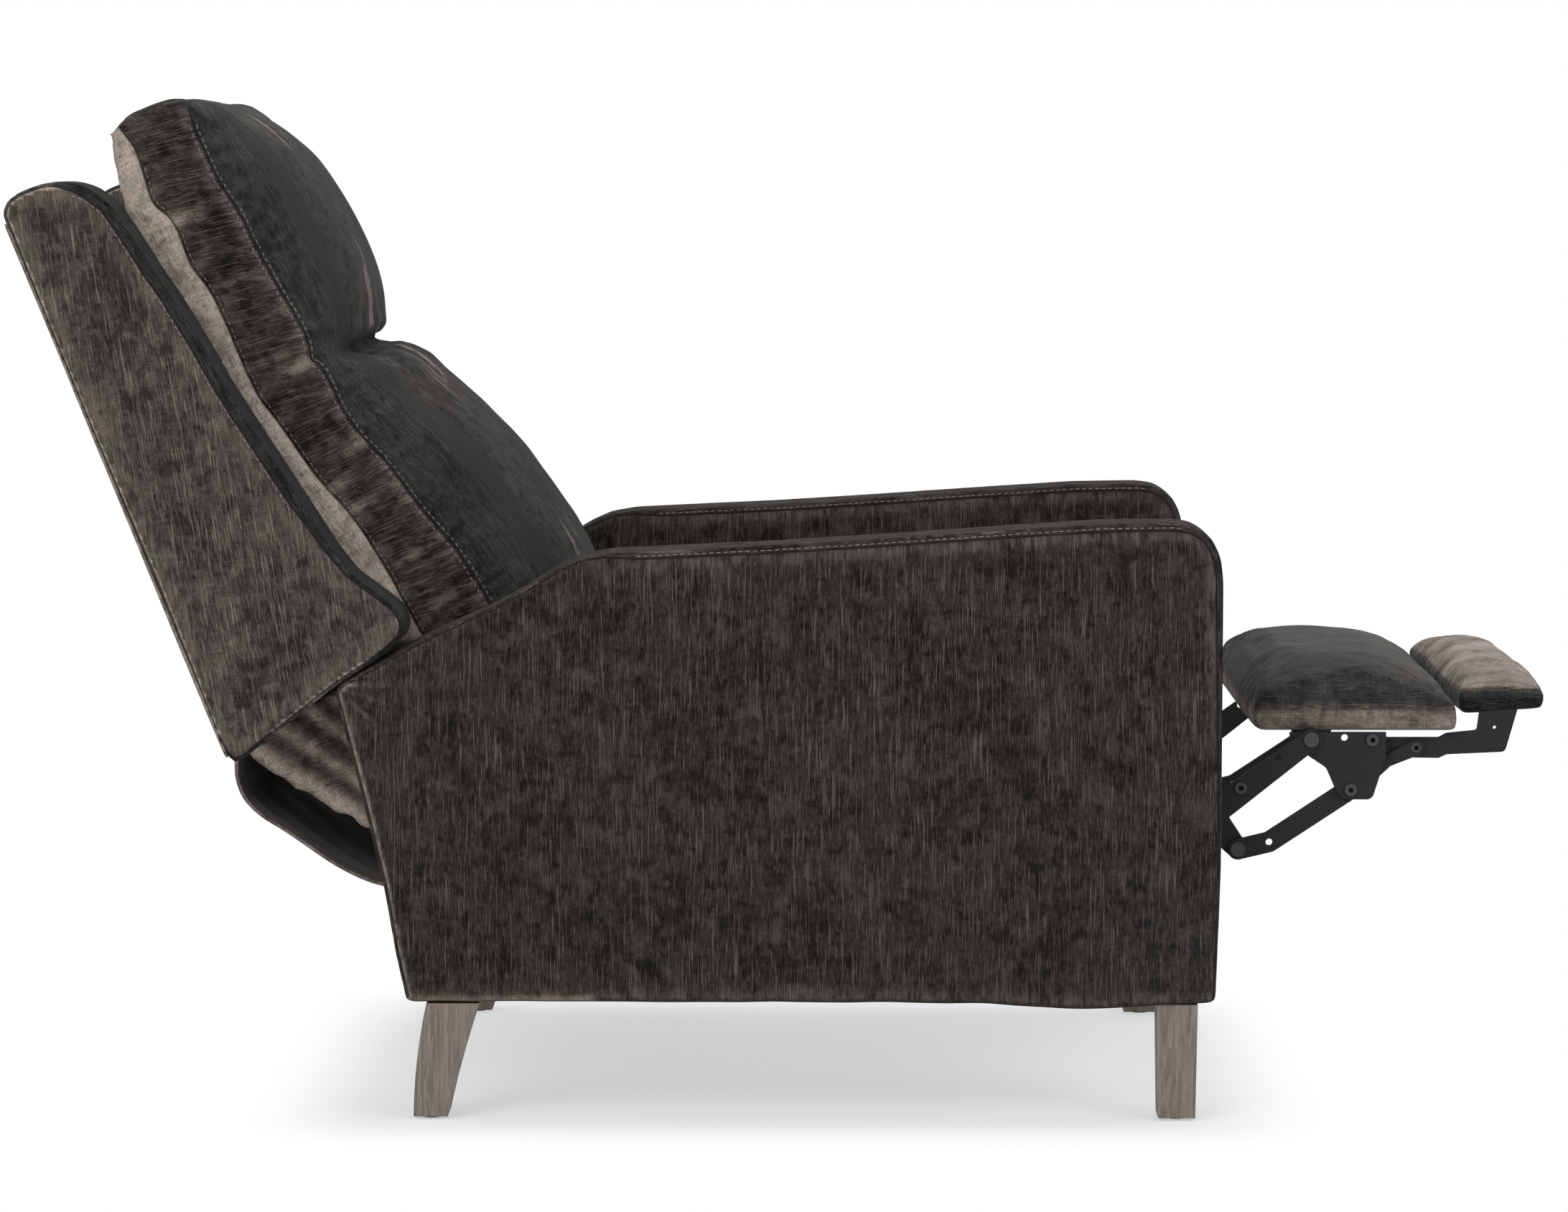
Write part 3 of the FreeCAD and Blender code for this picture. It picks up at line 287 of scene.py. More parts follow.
def make_steel_wear():
    """Black paint on pressed steel: orange peel, faint dust and rubbed edges."""
    group, w, given, result = shader_group("steel_wear", [
        ("Place", "NodeSocketVector", None),
        ("Paint", "NodeSocketColor", (0.02, 0.021, 0.024, 1)),
        ("Rubbed", "NodeSocketColor", (0.12, 0.12, 0.125, 1)),
        ("Edge Amount", "NodeSocketFloat", 0.5),
    ], [("Color", "NodeSocketColor"), ("Roughness", "NodeSocketFloat"), ("Height", "NodeSocketFloat")])
    place = given["Place"]
    peel = w.clouds(place, 700.0, 2.0)
    dust = w.spread(w.clouds(place, 45.0, 5.0, 0.65, 0.5), 0.45, 0.75)
    scratch = w.spread(w.clouds(w.stretch(place, 90, 90, 900), 1.0, 2.0, 0.7), 0.66, 0.74)
    edge = w.add("ShaderNodeNewGeometry").outputs["Pointiness"]
    rub = w.times(w.spread(edge, 0.52, 0.6), given["Edge Amount"])
    colour = w.blend(w.times(dust, 0.12), given["Paint"], DUST)
    colour = w.blend(w.sum("MAXIMUM", rub, w.times(scratch, 0.12)), colour, given["Rubbed"])
    w.feed(result["Color"], colour)
    w.feed(result["Roughness"], w.times(dust, 0.14, 0.42))
    w.feed(result["Height"], w.times(scratch, -0.4, peel))
    return group


SLUB_VELVET, SEAM_LINES, SEAM_SHADE = make_slub_velvet(), make_seam_lines(), make_seam_shade()
WOOD_GRAIN, STEEL_WEAR = make_wood_grain(), make_steel_wear()


# ---------------------------------------------------------------- materials

def new_material(name, rough=0.85, specular=0.3, sheen=0.0, sheen_rough=0.4, sheen_tint=(1, 1, 1, 1)):
    material = bpy.data.materials.new(name)
    material.use_nodes = True
    wires = Wires(material.node_tree)
    shader = material.node_tree.nodes["Principled BSDF"]
    shader.inputs["Roughness"].default_value = rough
    shader.inputs["Specular IOR Level"].default_value = specular
    shader.inputs["Sheen Weight"].default_value = sheen
    shader.inputs["Sheen Roughness"].default_value = sheen_rough
    shader.inputs["Sheen Tint"].default_value = sheen_tint
    return material, wires, shader


def place_group(wires, group, **values):
    node = wires.add("ShaderNodeGroup", node_tree=group)
    for name, value in values.items():
        wires.feed(node.inputs[name.replace("_", " ")], value)
    return node


def bump(wires, shader, height, strength, depth):
    node = wires.add("ShaderNodeBump")
    wires.feed(node.inputs["Height"], height)
    node.inputs["Strength"].default_value = strength
    node.inputs["Distance"].default_value = depth
    wires.feed(shader.inputs["Normal"], node.outputs[0])


PILE, CRUSHED_PILE, SLUB = (0.049, 0.0425, 0.0365), (0.0125, 0.0115, 0.0105), (0.215, 0.183, 0.158)
# The lighter colour the pile turns to along edges and seams, and as a painted highlight on the crests of folds and
# ripples.
LIGHTER_PILE = (0.2, 0.17, 0.145, 1)
VELVET_DEPTH, SEAM_DEPTH = 0.0008, -1.6


def scaled(colour, level):
    return tuple(c * level for c in colour) + (1,)


def velvet(name, level, slub_amount, crush, patch=1.0, past=(0.0, 0.0), sheen=0.15):
    """The chair's cloth: its level of painted light, and the painted sheen and shade that it takes on past its two
    seams.
    """
    material, w, shader = new_material(name, 0.95, 0.03, sheen, 0.35, (1.0, 0.96, 0.92, 1))
    lines = place_group(w, SEAM_LINES, Edge=w.attribute("edge", "Vector"), Base_Tone=w.attribute("tone", "Fac"),
                        Tone_Past_First=past[0], Tone_Past_Second=past[1])
    turn = w.add("ShaderNodeMix", data_type="VECTOR")
    w.feed(turn.inputs[0], lines.outputs["Past"])
    w.feed(turn.inputs[4], w.attribute("cloth", "Vector"))
    w.feed(turn.inputs[5], w.attribute("cloth_past", "Vector"))
    place = turn.outputs[1]
    weave = place_group(w, SLUB_VELVET, Place=place, Tone=lines.outputs["Tone"],
                        Pile=scaled(PILE, level), Crushed=scaled(CRUSHED_PILE, level), Slub=scaled(SLUB, level),
                        Slub_Amount=slub_amount, Crush_Amount=crush, Patch_Size=patch)
    shade = place_group(w, SEAM_SHADE, Color=weave.outputs["Color"], Seam=lines.outputs["Seam"],
                        Rub=w.attribute("rub", "Fac"), Rubbed=LIGHTER_PILE, Place=place)
    w.feed(shader.inputs["Base Color"], shade.outputs["Color"])
    bump(w, shader, w.times(lines.outputs["Seam"], SEAM_DEPTH, weave.outputs["Height"]), 0.65, VELVET_DEPTH)
    return material


# Each cloth: its level of painted light, slubs, crush, size of its patches, the painted sheen and shade past its first
# and second seam, and its sheen.
ARM_CLOTH = velvet("arm_velvet", 0.50, 1.2, 0.75, 1.3, (-0.35, 0.0), 0.04)
WING_CLOTH = velvet("wing_velvet", 1.0, 0.95, 0.75, 1.3, (-1.5, 0.0), 0.05)
BACK_CLOTH = velvet("back_velvet", 0.95, 0.9, 0.75, 1.3, (0.0, 0.0), 0.06)
CUSHION_CLOTH = velvet("cushion_velvet", 0.57, 1.35, 0.9, 1.4, (-1.0, 1.1), 0.1)
SEAT_CLOTH = velvet("seat_velvet", 0.9, 0.9, 0.9, 1.0, (-0.4, 0.0), 0.15)
PAD_CLOTH = velvet("pad_velvet", 1.0, 0.7, 0.7, 1.0, (0.0, 0.0), 0.2)
TAIL_CLOTH = velvet("tail_velvet", 0.7, 0.8, 0.8)


def lining(name, colour, scale=900.0):
    material, w, shader = new_material(name, 0.9, 0.15, 0.08, 0.5)
    place = w.object_place()
    threads = w.times(w.clouds(w.stretch(place, scale, scale * 0.12, scale * 0.12), 1.0, 2.0), 0.5,
                    w.times(w.clouds(place, 30.0, 4.0, 0.6), 0.5))
    w.feed(shader.inputs["Base Color"], w.blend(w.spread(threads, 0.3, 0.7), scaled(colour, 0.5), scaled(colour, 1.5)))
    bump(w, shader, threads, 0.5, 0.0006)
    return material


LINING = lining("black_lining", (0.016, 0.016, 0.017))
WEBBING = lining("seat_webbing", (0.03, 0.03, 0.032), 500.0)


def wood(name, plank, dark, wash, rough):
    material, w, shader = new_material(name, rough, 0.35)
    place = w.object_place()
    grain = place_group(w, WOOD_GRAIN, Place=place, Wood=plank, Dark_Grain=dark, Wash=wash)
    w.feed(shader.inputs["Base Color"], grain.outputs["Color"])
    bump(w, shader, grain.outputs["Height"], 0.4, 0.0004)
    return material


LEG_OAK = wood("grey_washed_oak", (0.2, 0.165, 0.14, 1), (0.1, 0.08, 0.067, 1), (0.27, 0.24, 0.21, 1), 0.6)
FRAME_WOOD = wood("raw_frame_wood", (0.42, 0.3, 0.19, 1), (0.26, 0.17, 0.1, 1), (0.5, 0.38, 0.26, 1), 0.75)


def steel(name, paint, edge):
    material, w, shader = new_material(name, 0.45, 0.036)
    place = w.object_place()
    wear = place_group(w, STEEL_WEAR, Place=place, Paint=paint, Edge_Amount=edge)
    w.feed(shader.inputs["Base Color"], wear.outputs["Color"])
    w.feed(shader.inputs["Roughness"], wear.outputs["Roughness"])
    bump(w, shader, wear.outputs["Height"], 0.25, 0.0003)
    return material


BLACK_STEEL = steel("black_steel", (0.0024, 0.0032, 0.0046, 1), 0.2)
RIVET_STEEL = steel("rivet_steel", (0.006, 0.0068, 0.008, 1), 0.5)
GLIDE_NYLON = steel("glide_nylon", (0.02, 0.02, 0.02, 1), 0.1)


def thread_material():
    material, w, shader = new_material("stitch_thread", 0.6, 0.3)
    place = w.object_place()
    twist = w.clouds(place, 1500.0, 2.0)
    w.feed(shader.inputs["Base Color"], w.blend(w.spread(twist, 0.35, 0.65), (0.16, 0.138, 0.118, 1),
                                                (0.42, 0.37, 0.32, 1)))
    bump(w, shader, twist, 0.5, 0.0002)
    return material


THREAD = thread_material()


# ---------------------------------------------------------------- shaping helpers

def between(a, b, c, d, t):
    """The point at share t of the way from b to c, on a smooth line through all four."""
    return 0.5 * (2 * b + (c - a) * t + (2 * a - 5 * b + 4 * c - d) * t ** 2 + (3 * b - a - 3 * c + d) * t ** 3)


def runs_of(line):
    """How far along a line each of its points lies."""
    return np.r_[0, np.cumsum(np.linalg.norm(np.diff(line, axis=0), axis=1))]


def headings(line):
    """The unit direction of a line at each of its points."""
    ahead = np.gradient(line, axis=0)
    return ahead / np.linalg.norm(ahead, axis=1)[:, None]


def columns(*values):
    """One row for each point. A single number fills its column."""
    return np.stack(np.broadcast_arrays(*values), 1)


def ramp(value, start, span):
    """0 up to the start, 1 from start + span on."""
    return np.clip((value - start) / span, 0, 1)


def fall(value, start, span):
    """0 above the start, 1 below start - span."""
    return np.clip((start - value) / span, 0, 1)


def both_ways(*shares):
    """Shares from -1 to 0, and the same mirrored up to 1."""
    half = np.array(shares, float)
    return np.r_[half, -half[-2::-1]]


def curve_through(points, step=0.006):
    """A smooth line through points, cut into even steps."""
    p = np.array(points, float)
    p = np.vstack([2 * p[0] - p[1], p, 2 * p[-1] - p[-2]])
    made = []
    for i in range(1, len(p) - 2):
        a, b, c, d = p[i - 1:i + 3]
        count = max(2, int(np.linalg.norm(c - b) / step * 2))
        t = np.linspace(0, 1, count, endpoint=False)[:, None]
        made.append(between(a, b, c, d, t))
    return even(np.vstack(made + [p[-2:-1]]), step)


def even(line, step, closed=False):
    p = np.array(line, float)
    if closed:
        p = np.vstack([p, p[:1]])
    runs = runs_of(p)
    count = max(3, int(round(runs[-1] / step)))
    places = np.linspace(0, runs[-1], count, endpoint=not closed)
    return np.stack([np.interp(places, runs, p[:, k]) for k in range(p.shape[1])], 1)


def round_corners(points, radius, step=0.004):
    """A closed outline with each corner turned on a radius."""
    p = np.array(points, float)
    radius = np.broadcast_to(np.array(radius, float), (len(p),))
    out = []
    for i in range(len(p)):
        here, before, after = p[i], p[i - 1], p[(i + 1) % len(p)]
        u, v = before - here, after - here
        u, v = u / np.linalg.norm(u), v / np.linalg.norm(v)
        half = math.acos(max(-1, min(1, float(u @ v)))) / 2
        reach = radius[i] / math.tan(half)
        reach = min(reach, 0.49 * np.linalg.norm(before - here), 0.49 * np.linalg.norm(after - here))
        t = np.linspace(0, 1, 9)[:, None]
        out.append((1 - t) ** 2 * (here + u * reach) + 2 * t * (1 - t) * here + t ** 2 * (here + v * reach))
    return even(np.vstack(out), step, True)


def line_distance(points, line, closed=False):
    """How far each 2-D point lies from a line, and how far along the line it is."""
    ends = np.vstack([line, line[:1]]) if closed else line
    a, b = ends[:-1], ends[1:]
    d = b - a
    length = np.linalg.norm(d, axis=1)
    runs = np.r_[0, np.cumsum(length)][:-1]
    best = np.full(len(points), 1e9)
    where = np.zeros(len(points))
    for k in range(len(a)):
        t = np.clip(((points - a[k]) @ d[k]) / max(length[k] ** 2, 1e-12), 0, 1)
        gap = np.linalg.norm(points - (a[k] + t[:, None] * d[k]), axis=1)
        nearer = gap < best
        best[nearer] = gap[nearer]
        where[nearer] = (runs[k] + t * length[k])[nearer]
    return best, where


def mesh_object(name, verts, faces, materials=(), smooth=True):
    mesh = bpy.data.meshes.new(name)
    mesh.from_pydata([tuple(v) for v in verts], [], [tuple(int(i) for i in f) for f in faces])
    mesh.update()
    made = bpy.data.objects.new(name, mesh)
    scene.collection.objects.link(made)
    for material in materials:
        mesh.materials.append(material)
    if smooth:
        mesh.polygons.foreach_set("use_smooth", [True] * len(mesh.polygons))
    return made


def swept_solid(name, stations, profiles):
    """A closed solid through closed profiles of the side view that stand at stations across the chair."""
    count = len(profiles[0])
    verts = [(x, y, z) for y, profile in zip(stations, profiles) for x, z in profile]
    faces = []
    for k in range(len(stations) - 1):
        for i in range(count):
            j = (i + 1) % count
            faces.append((k * count + i, k * count + j, (k + 1) * count + j, (k + 1) * count + i))
    faces.append(tuple(range(count)))
    faces.append(tuple((len(stations) - 1) * count + i for i in reversed(range(count))))
    return mesh_object(name, verts, faces)


def settled(made, voxel, passes):
    """The piece with an even skin: remeshed, then smoothed."""
    baked(made, kind="REMESH", mode="VOXEL", voxel_size=voxel)
    return baked(made, kind="SMOOTH", factor=0.5, iterations=passes)


def points_of(made):
    co = np.zeros(len(made.data.vertices) * 3)
    made.data.vertices.foreach_get("co", co)
    return co.reshape(-1, 3)


def normals_of(made):
    co = np.zeros(len(made.data.vertices) * 3)
    made.data.vertices.foreach_get("normal", co)
    return co.reshape(-1, 3)


def set_points(made, co):
    made.data.vertices.foreach_set("co", np.asarray(co, float).ravel())
    made.data.update()


def set_value(made, name, values):
    kind = "FLOAT_VECTOR" if np.ndim(values) == 2 else "FLOAT"
    old = made.data.attributes.get(name)
    if old:
        made.data.attributes.remove(old)
    attribute = made.data.attributes.new(name, kind, "POINT")
    field = "vector" if kind == "FLOAT_VECTOR" else "value"
    attribute.data.foreach_set(field, np.asarray(values, np.float32).ravel())


def noise_at(points, scale, seed=0.0):
    return np.array([noise.noise(Vector(p) * scale + Vector((seed, seed * 1.7, -seed))) for p in points])


def bell(distance, width):
    return np.exp(-(distance / width) ** 2)


def dress(made, cloth, past=None, edge=None, tone=0.0, rub=0.0):
    """Gives each point its place on the cloth, its distances to seams, its tone of painted light and shade, and how
    far its pile turns lighter.
    """
    count = len(made.data.vertices)
    set_value(made, "cloth", cloth)
    set_value(made, "cloth_past", cloth if past is None else past)
    set_value(made, "edge", np.full((count, 3), -1.0) if edge is None else edge)
    set_value(made, "tone", np.zeros(count) + tone)
    set_value(made, "rub", np.clip(np.zeros(count) + rub, 0, 1))


def baked(made, **settings):
    """The piece with one modifier worked into its mesh."""
    kind = settings.pop("kind")
    step = made.modifiers.new("step", kind)
    for name, value in settings.items():
        setattr(step, name, value)
    bpy.context.view_layer.update()
    mesh = bpy.data.meshes.new_from_object(made.evaluated_get(bpy.context.evaluated_depsgraph_get()))
    made.modifiers.clear()
    old, made.data = made.data, mesh
    bpy.data.meshes.remove(old)
    mesh.name = made.name
    mesh.polygons.foreach_set("use_smooth", [True] * len(mesh.polygons))
    return made


def inset_line(outline, inset):
    """A closed outline moved inwards."""
    area = 0.5 * np.sum(outline[:, 0] * np.roll(outline[:, 1], -1) - np.roll(outline[:, 0], -1) * outline[:, 1])
    along = np.roll(outline, -1, axis=0) - np.roll(outline, 1, axis=0)
    along /= np.linalg.norm(along, axis=1)[:, None]
    return outline + columns(-along[:, 1], along[:, 0]) * (inset if area > 0 else -inset)


def stretched_to(made, low, high):
    """Fits the piece back to the box it was drawn in, after its skin was smoothed."""
    co = points_of(made)
    a, b = co.min(0), co.max(0)
    set_points(made, np.array(low) + (co - a) / (b - a) * (np.array(high) - np.array(low)))
    return made


CLOTH_MASS, CLOTH_STIFFNESS, CLOTH_BENDING = 0.3, 15.0, 0.4


def inflated(made, pressure, cap, pins, frames):
    """Blows the piece up as cloth, holds its seams, and keeps every point within the cap of where it was."""
    start = points_of(made)
    group = made.vertex_groups.new(name="seams")
    for i in np.nonzero(pins > 0.01)[0]:
        group.add([int(i)], float(pins[i]), "REPLACE")
    cloth = made.modifiers.new("cloth", "CLOTH")
    s = cloth.settings
    s.use_pressure, s.uniform_pressure_force = True, pressure
    s.effector_weights.gravity = 0.0
    s.quality, s.mass = 5, CLOTH_MASS
    s.tension_stiffness = s.compression_stiffness = CLOTH_STIFFNESS
    s.bending_stiffness = CLOTH_BENDING
    s.vertex_group_mass = "seams"
    cloth.point_cache.frame_start, cloth.point_cache.frame_end = 1, frames
    for n in range(1, frames + 1):
        scene.frame_set(n)
    mesh = bpy.data.meshes.new_from_object(made.evaluated_get(bpy.context.evaluated_depsgraph_get()))
    end = np.zeros(len(mesh.vertices) * 3)
    mesh.vertices.foreach_get("co", end)
    end = end.reshape(-1, 3)
    bpy.data.meshes.remove(mesh)
    made.modifiers.remove(cloth)
    scene.frame_set(1)
    move = end - start
    far = np.linalg.norm(move, axis=1, keepdims=True)
    set_points(made, start + move * np.minimum(1.0, cap / np.maximum(far, 1e-9)))
    return made


def turned(points, degrees):
    """Side view points measured across and along threads that lean by an angle."""
    a = math.radians(degrees)
    return columns(points[:, 0] * math.cos(a) + points[:, 1] * math.sin(a),
                   -points[:, 0] * math.sin(a) + points[:, 1] * math.cos(a))


def onto(made, line, way, start=0.0):
    """Lays a line of the side view onto a piece, from outside it towards its middle."""
    out = []
    for x, z in line:
        hit, place, _, _ = made.ray_cast(Vector((x, start + way * 0.4, z)), Vector((0, -way, 0)))
        if hit:
            out.append((x, place.y, z))
    return np.array(out)


STITCH_LENGTH, STITCH_GAP = 0.0048, 0.0028
THREAD_RADIUS, THREAD_LIFT, THREAD_SIDES = 0.00031, 0.0001, 6
# Where along a stitch its rings of points stand, and how wide each is.
STITCH_CUTS = ((0.0, 0.4), (0.15, 0.95), (0.5, 1.0), (0.85, 0.95), (1.0, 0.4))


def stitches(name, path, facing, body):
    """A row of short thread stitches lying along a 3-D path."""
    path = np.array(path, float)
    runs = runs_of(path)
    facing = np.broadcast_to(np.array(facing, float), path.shape)

    def at_run(run, values):
        return np.array([np.interp(run, runs, values[:, k]) for k in range(3)])

    verts, faces = [], []
    start, ring = 0.0, THREAD_SIDES
    while start + STITCH_LENGTH < runs[-1]:
        base = len(verts)
        for share, wide in STITCH_CUTS:
            at = start + share * STITCH_LENGTH
            along = at_run(at + 0.001, path) - at_run(at - 0.001, path)
            along /= max(np.linalg.norm(along), 1e-9)
            up = at_run(at, facing)
            up /= max(np.linalg.norm(up), 1e-9)
            side = np.cross(along, up)
            centre = at_run(at, path) + up * (THREAD_LIFT + THREAD_RADIUS * (0.0 if share in (0.0, 1.0) else 0.5))
            for n in range(ring):
                a = 2 * math.pi * n / ring
                verts.append(centre + (side * math.cos(a) * 1.15 + up * math.sin(a) * 0.8) * THREAD_RADIUS * wide)
        for k in range(len(STITCH_CUTS) - 1):
            for n in range(ring):
                m = (n + 1) % ring
                faces.append((base + k * ring + n, base + k * ring + m, base + (k + 1) * ring + m,
                              base + (k + 1) * ring + n))
        faces.append(tuple(base + n for n in reversed(range(ring))))
        faces.append(tuple(base + (len(STITCH_CUTS) - 1) * ring + n for n in range(ring)))
        start += STITCH_LENGTH + STITCH_GAP * (0.85 + 0.3 * math.sin(start * 700) ** 2)
    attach(mesh_object(name, verts, faces, [THREAD]), body)


def stitched_faces(made, name, line, side, tilt, body):
    """The same row of stitches on the outer and on the inner face of an arm or a wing."""
    for face, way in (("outer", 1), ("inner", -1)):
        path = onto(made, line, side * way, side * 0.32)
        stitches("%s_stitches_%s" % (name, face), path, (0, side * way, tilt), body)


def side_facing(normal, start=0.6, span=0.3):
    """1 where the skin faces across the chair, 0 where it faces along it."""
    return ramp(np.abs(normal[:, 1]), start, span)


def set_on_side(made, co, side):
    """Sets the points of a piece that was shaped on the left, on its own side."""
    co[:, 1] *= side
    set_points(made, co)
    if side < 0:
        made.data.flip_normals()


def finished(made, material, body, slot, fullness, *cad):
    """The piece's material, its body, its slot and how padded it is, which are not used, and the CAD nodes that it
    replaces.
    """
    made.data.materials.append(material)
    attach(made, body)
    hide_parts(*cad)


def two_layers(name, verts, rows, across, material, outwards=False):
    """A thin sheet: two layers, each with rows of points, closed along their rim."""
    layer = rows * across
    faces = []
    for j in range(rows - 1):
        for k in range(across - 1):
            a = j * across + k
            b = a + layer
            faces += [(a, a + across, a + across + 1, a + 1), (b, b + 1, b + across + 1, b + across)]
    rim = ([j * across for j in range(rows)] + [(rows - 1) * across + k for k in range(1, across)]
           + [j * across + across - 1 for j in range(rows - 2, -1, -1)] + list(range(across - 2, 0, -1)))
    faces += [(a, b, b + layer, a + layer) for a, b in zip(rim, rim[1:] + rim[:1])]
    if outwards:
        faces = [(f[0],) + f[:0:-1] for f in faces]
    return mesh_object(name, verts, faces, [material])


# ---------------------------------------------------------------- arms

ARM_OUTLINE = [
    (0.4525, 0.1255), (0.4573, 0.272), (0.4576, 0.572), (0.4545, 0.597), (0.4450, 0.6170), (0.4270, 0.6300),
    (0.4050, 0.6330), (0.33, 0.6318), (0.2475, 0.6265), (0.079, 0.6150), (-0.0165, 0.6090), (-0.1127, 0.6045),
    (-0.184, 0.6010), (-0.2140, 0.5960), (-0.2385, 0.5850), (-0.2760, 0.5617), (-0.3038, 0.5460), (-0.3818, 0.5103),
    (-0.4370, 0.4795), (-0.4665, 0.4636), (-0.4740, 0.4545), (-0.4690, 0.4365), (-0.4572, 0.3883), (-0.4430, 0.3327),
    (-0.4222, 0.2425), (-0.4110, 0.1763), (-0.4025, 0.1379), (-0.4000, 0.1255),
]
ARM_ROUNDING = [0.006] + [0.03] * 17 + [0.012, 0.008, 0.006] + [0.02] * 6 + [0.006]
ARM_IN, ARM_OUT = 0.2805, 0.369
ARM_REAR_CORNER, ARM_FOLD_REACH = (-0.478, 0.462), 0.040
PUCKER_SPACING = 0.024
SLAB_EDGE = 0.005
# A distance to a seam that is read as no seam.
NO_SEAM = -1.0


def upholstered_slab(name, outline, near, far):
    """A padded board of the side view: its edges turn softly."""
    edge = SLAB_EDGE
    steps = [(0.0, edge), (0.0014, edge * 0.45), (edge * 0.45, 0.0014), (edge, 0.0)]
    stations = [near + up for up, _ in steps] + [far - up for up, _ in reversed(steps)]
    profiles = [inset_line(outline, inset) for _, inset in steps + steps[::-1]]
    made = settled(swept_solid(name, stations, profiles), 0.005, 3)
    low, high = outline.min(0), outline.max(0)
    return stretched_to(made, (low[0], near, low[1]), (high[0], far, high[1]))


def arm(side, name):
    outline = round_corners(ARM_OUTLINE, ARM_ROUNDING)
    made = upholstered_slab(name, outline, ARM_IN, ARM_OUT)
    co, normal = points_of(made), normals_of(made)
    flat = co[:, [0, 2]]
    x, z = flat[:, 0], flat[:, 1]
    depth, where = line_distance(flat, outline, True)
    on_side = side_facing(normal)
    outward = np.sign(normal[:, 1])
    top = ramp(z, 0.30, 0.25) * ramp(x, -0.20, 0.05)
    seam_at = 0.0030 + 0.0048 * top
    puff = noise_at(co, 9.0, 3.0 + side) * 0.0016 + noise_at(co, 26.0, 8.0) * 0.0008
    groove = bell(depth - seam_at, 0.003) * on_side
    pucker = 0.5 + 0.5 * np.sin(where * 2 * math.pi / PUCKER_SPACING + 6 * noise_at(co, 12.0, 1.0))
    move = on_side * (0.0030 * (1 - bell(depth, 0.05)) + puff * (1 - bell(depth, 0.015)))
    move -= 0.0016 * groove + 0.0009 * bell(depth - seam_at - 0.012, 0.01) * pucker * on_side
    corner = flat - ARM_REAR_CORNER
    pulled = np.clip(np.sin(np.arctan2(corner[:, 1], corner[:, 0]) * 17 + 1.0), 0, 1) ** 2
    pulled = pulled * bell(np.linalg.norm(corner, axis=1) - ARM_FOLD_REACH, 0.022) * on_side
    move += 0.0012 * pulled
    co[:, 1] += outward * move
    slack = bell(x - 0.31, 0.075) * fall(z, 0.16, 0.03) * (co[:, 1] > 0.34)
    co[:, 2] -= slack * 0.006 + fall(z, 0.14, 0.012) * noise_at(co, 18.0, 2.0) * 0.0016
    wander = 0.002 * noise_at(co, 7.0, 2.0)
    seed = side * 0.37
    flat_on = on_side > 0.2
    cloth = columns(np.where(flat_on, x, where) + wander, np.where(flat_on, z, co[:, 1]), seed)
    past = columns(co[:, 1] - depth * 2, where, seed)
    border = seam_at - depth + np.where(on_side > 0.02, 0.0, 0.01)
    border = np.where(normal[:, 2] < -0.6, -0.01, border)
    edge = columns(border, NO_SEAM, seed)
    # Painted light and shade: the arm darker towards its bottom, its front and its rear, lighter rims along its lower
    # edges and most along the rear, its inner face lighter with less of this shade, and its top strip lighter where it
    # faces up. Past its seam its cloth paints the top strip darker.
    low = fall(z, 0.50, 0.35)
    ahead = ramp(x, 0.18, 0.28)
    tone = -0.22 * low * (0.7 + 0.3 * ahead) - 0.14 * ahead - 0.14 * fall(x, -0.25, 0.2)
    rear_rim_highlight = bell(depth - 0.004, 0.0045) * (x < -0.2) * (z < 0.465)
    tone += 0.75 * rear_rim_highlight + 0.25 * bell(depth - 0.004, 0.006) * (x > -0.2) * (z < 0.5)
    tone = np.where(co[:, 1] < 0.32, 0.3 * tone + 0.05, tone)
    tone += np.where(border > 0, 0.25 * ramp(normal[:, 2], 0.4, 0.5), 0.0)
    fringe = 0.42 * bell(z - 0.131, 0.009) + 0.5 * bell(depth, 0.004) * (x < -0.2)
    rub = fringe * on_side + 0.40 * bell(depth - seam_at - 0.006, 0.006) * on_side * top
    # A painted highlight on the crests of the folds at the rear corner.
    rub += 0.6 * pulled
    dress(made, cloth, past, edge, tone, rub)
    set_on_side(made, co, side)
    suffix = "left" if side > 0 else "right"
    finished(made, ARM_CLOTH, "base", "cover", 0.8, "arm_cover_" + suffix, "arm_frame_" + suffix)
    line = inset_line(outline, 0.0048)
    line = line[(line[:, 1] > 0.50) & (line[:, 0] > -0.16) & (line[:, 0] < 0.42)]
    stitched_faces(made, name, line[np.argsort(line[:, 0])], side, 0.25, "base")


arm(-1, "arm_upholstery_right")
arm(1, "arm_upholstery_left")


# ---------------------------------------------------------------- back wings

WING_OUTLINE = [
    (-0.8169, 0.9541), (-0.8125, 0.9674), (-0.799, 0.977), (-0.778, 0.985), (-0.7587, 0.9884), (-0.7436, 0.9873),
    (-0.7263, 0.982), (-0.7050, 0.966), (-0.6857, 0.938), (-0.6607, 0.898), (-0.6384, 0.8655), (-0.614, 0.825),
    (-0.586, 0.775), (-0.552, 0.722), (-0.531, 0.690), (-0.501, 0.643), (-0.4755, 0.6035), (-0.4556, 0.578),
    (-0.4248, 0.5555), (-0.406, 0.5405), (-0.399, 0.5245), (-0.4037, 0.511), (-0.421, 0.495), (-0.475, 0.459),
    (-0.5218, 0.4222), (-0.5675, 0.3860), (-0.580, 0.3782), (-0.5945, 0.395), (-0.6221, 0.468), (-0.6608, 0.568),
    (-0.6991, 0.660), (-0.7251, 0.7217), (-0.7731, 0.841),
]
WING_IN, WING_OUT, WING_LEAN = 0.2765, 0.369, 9.5
WING_ROUNDING = [0.006] * 3 + [0.03] * 15 + [0.02] * 4 + [0.03] * 3 + [0.004, 0.006] + [0.02] * 6


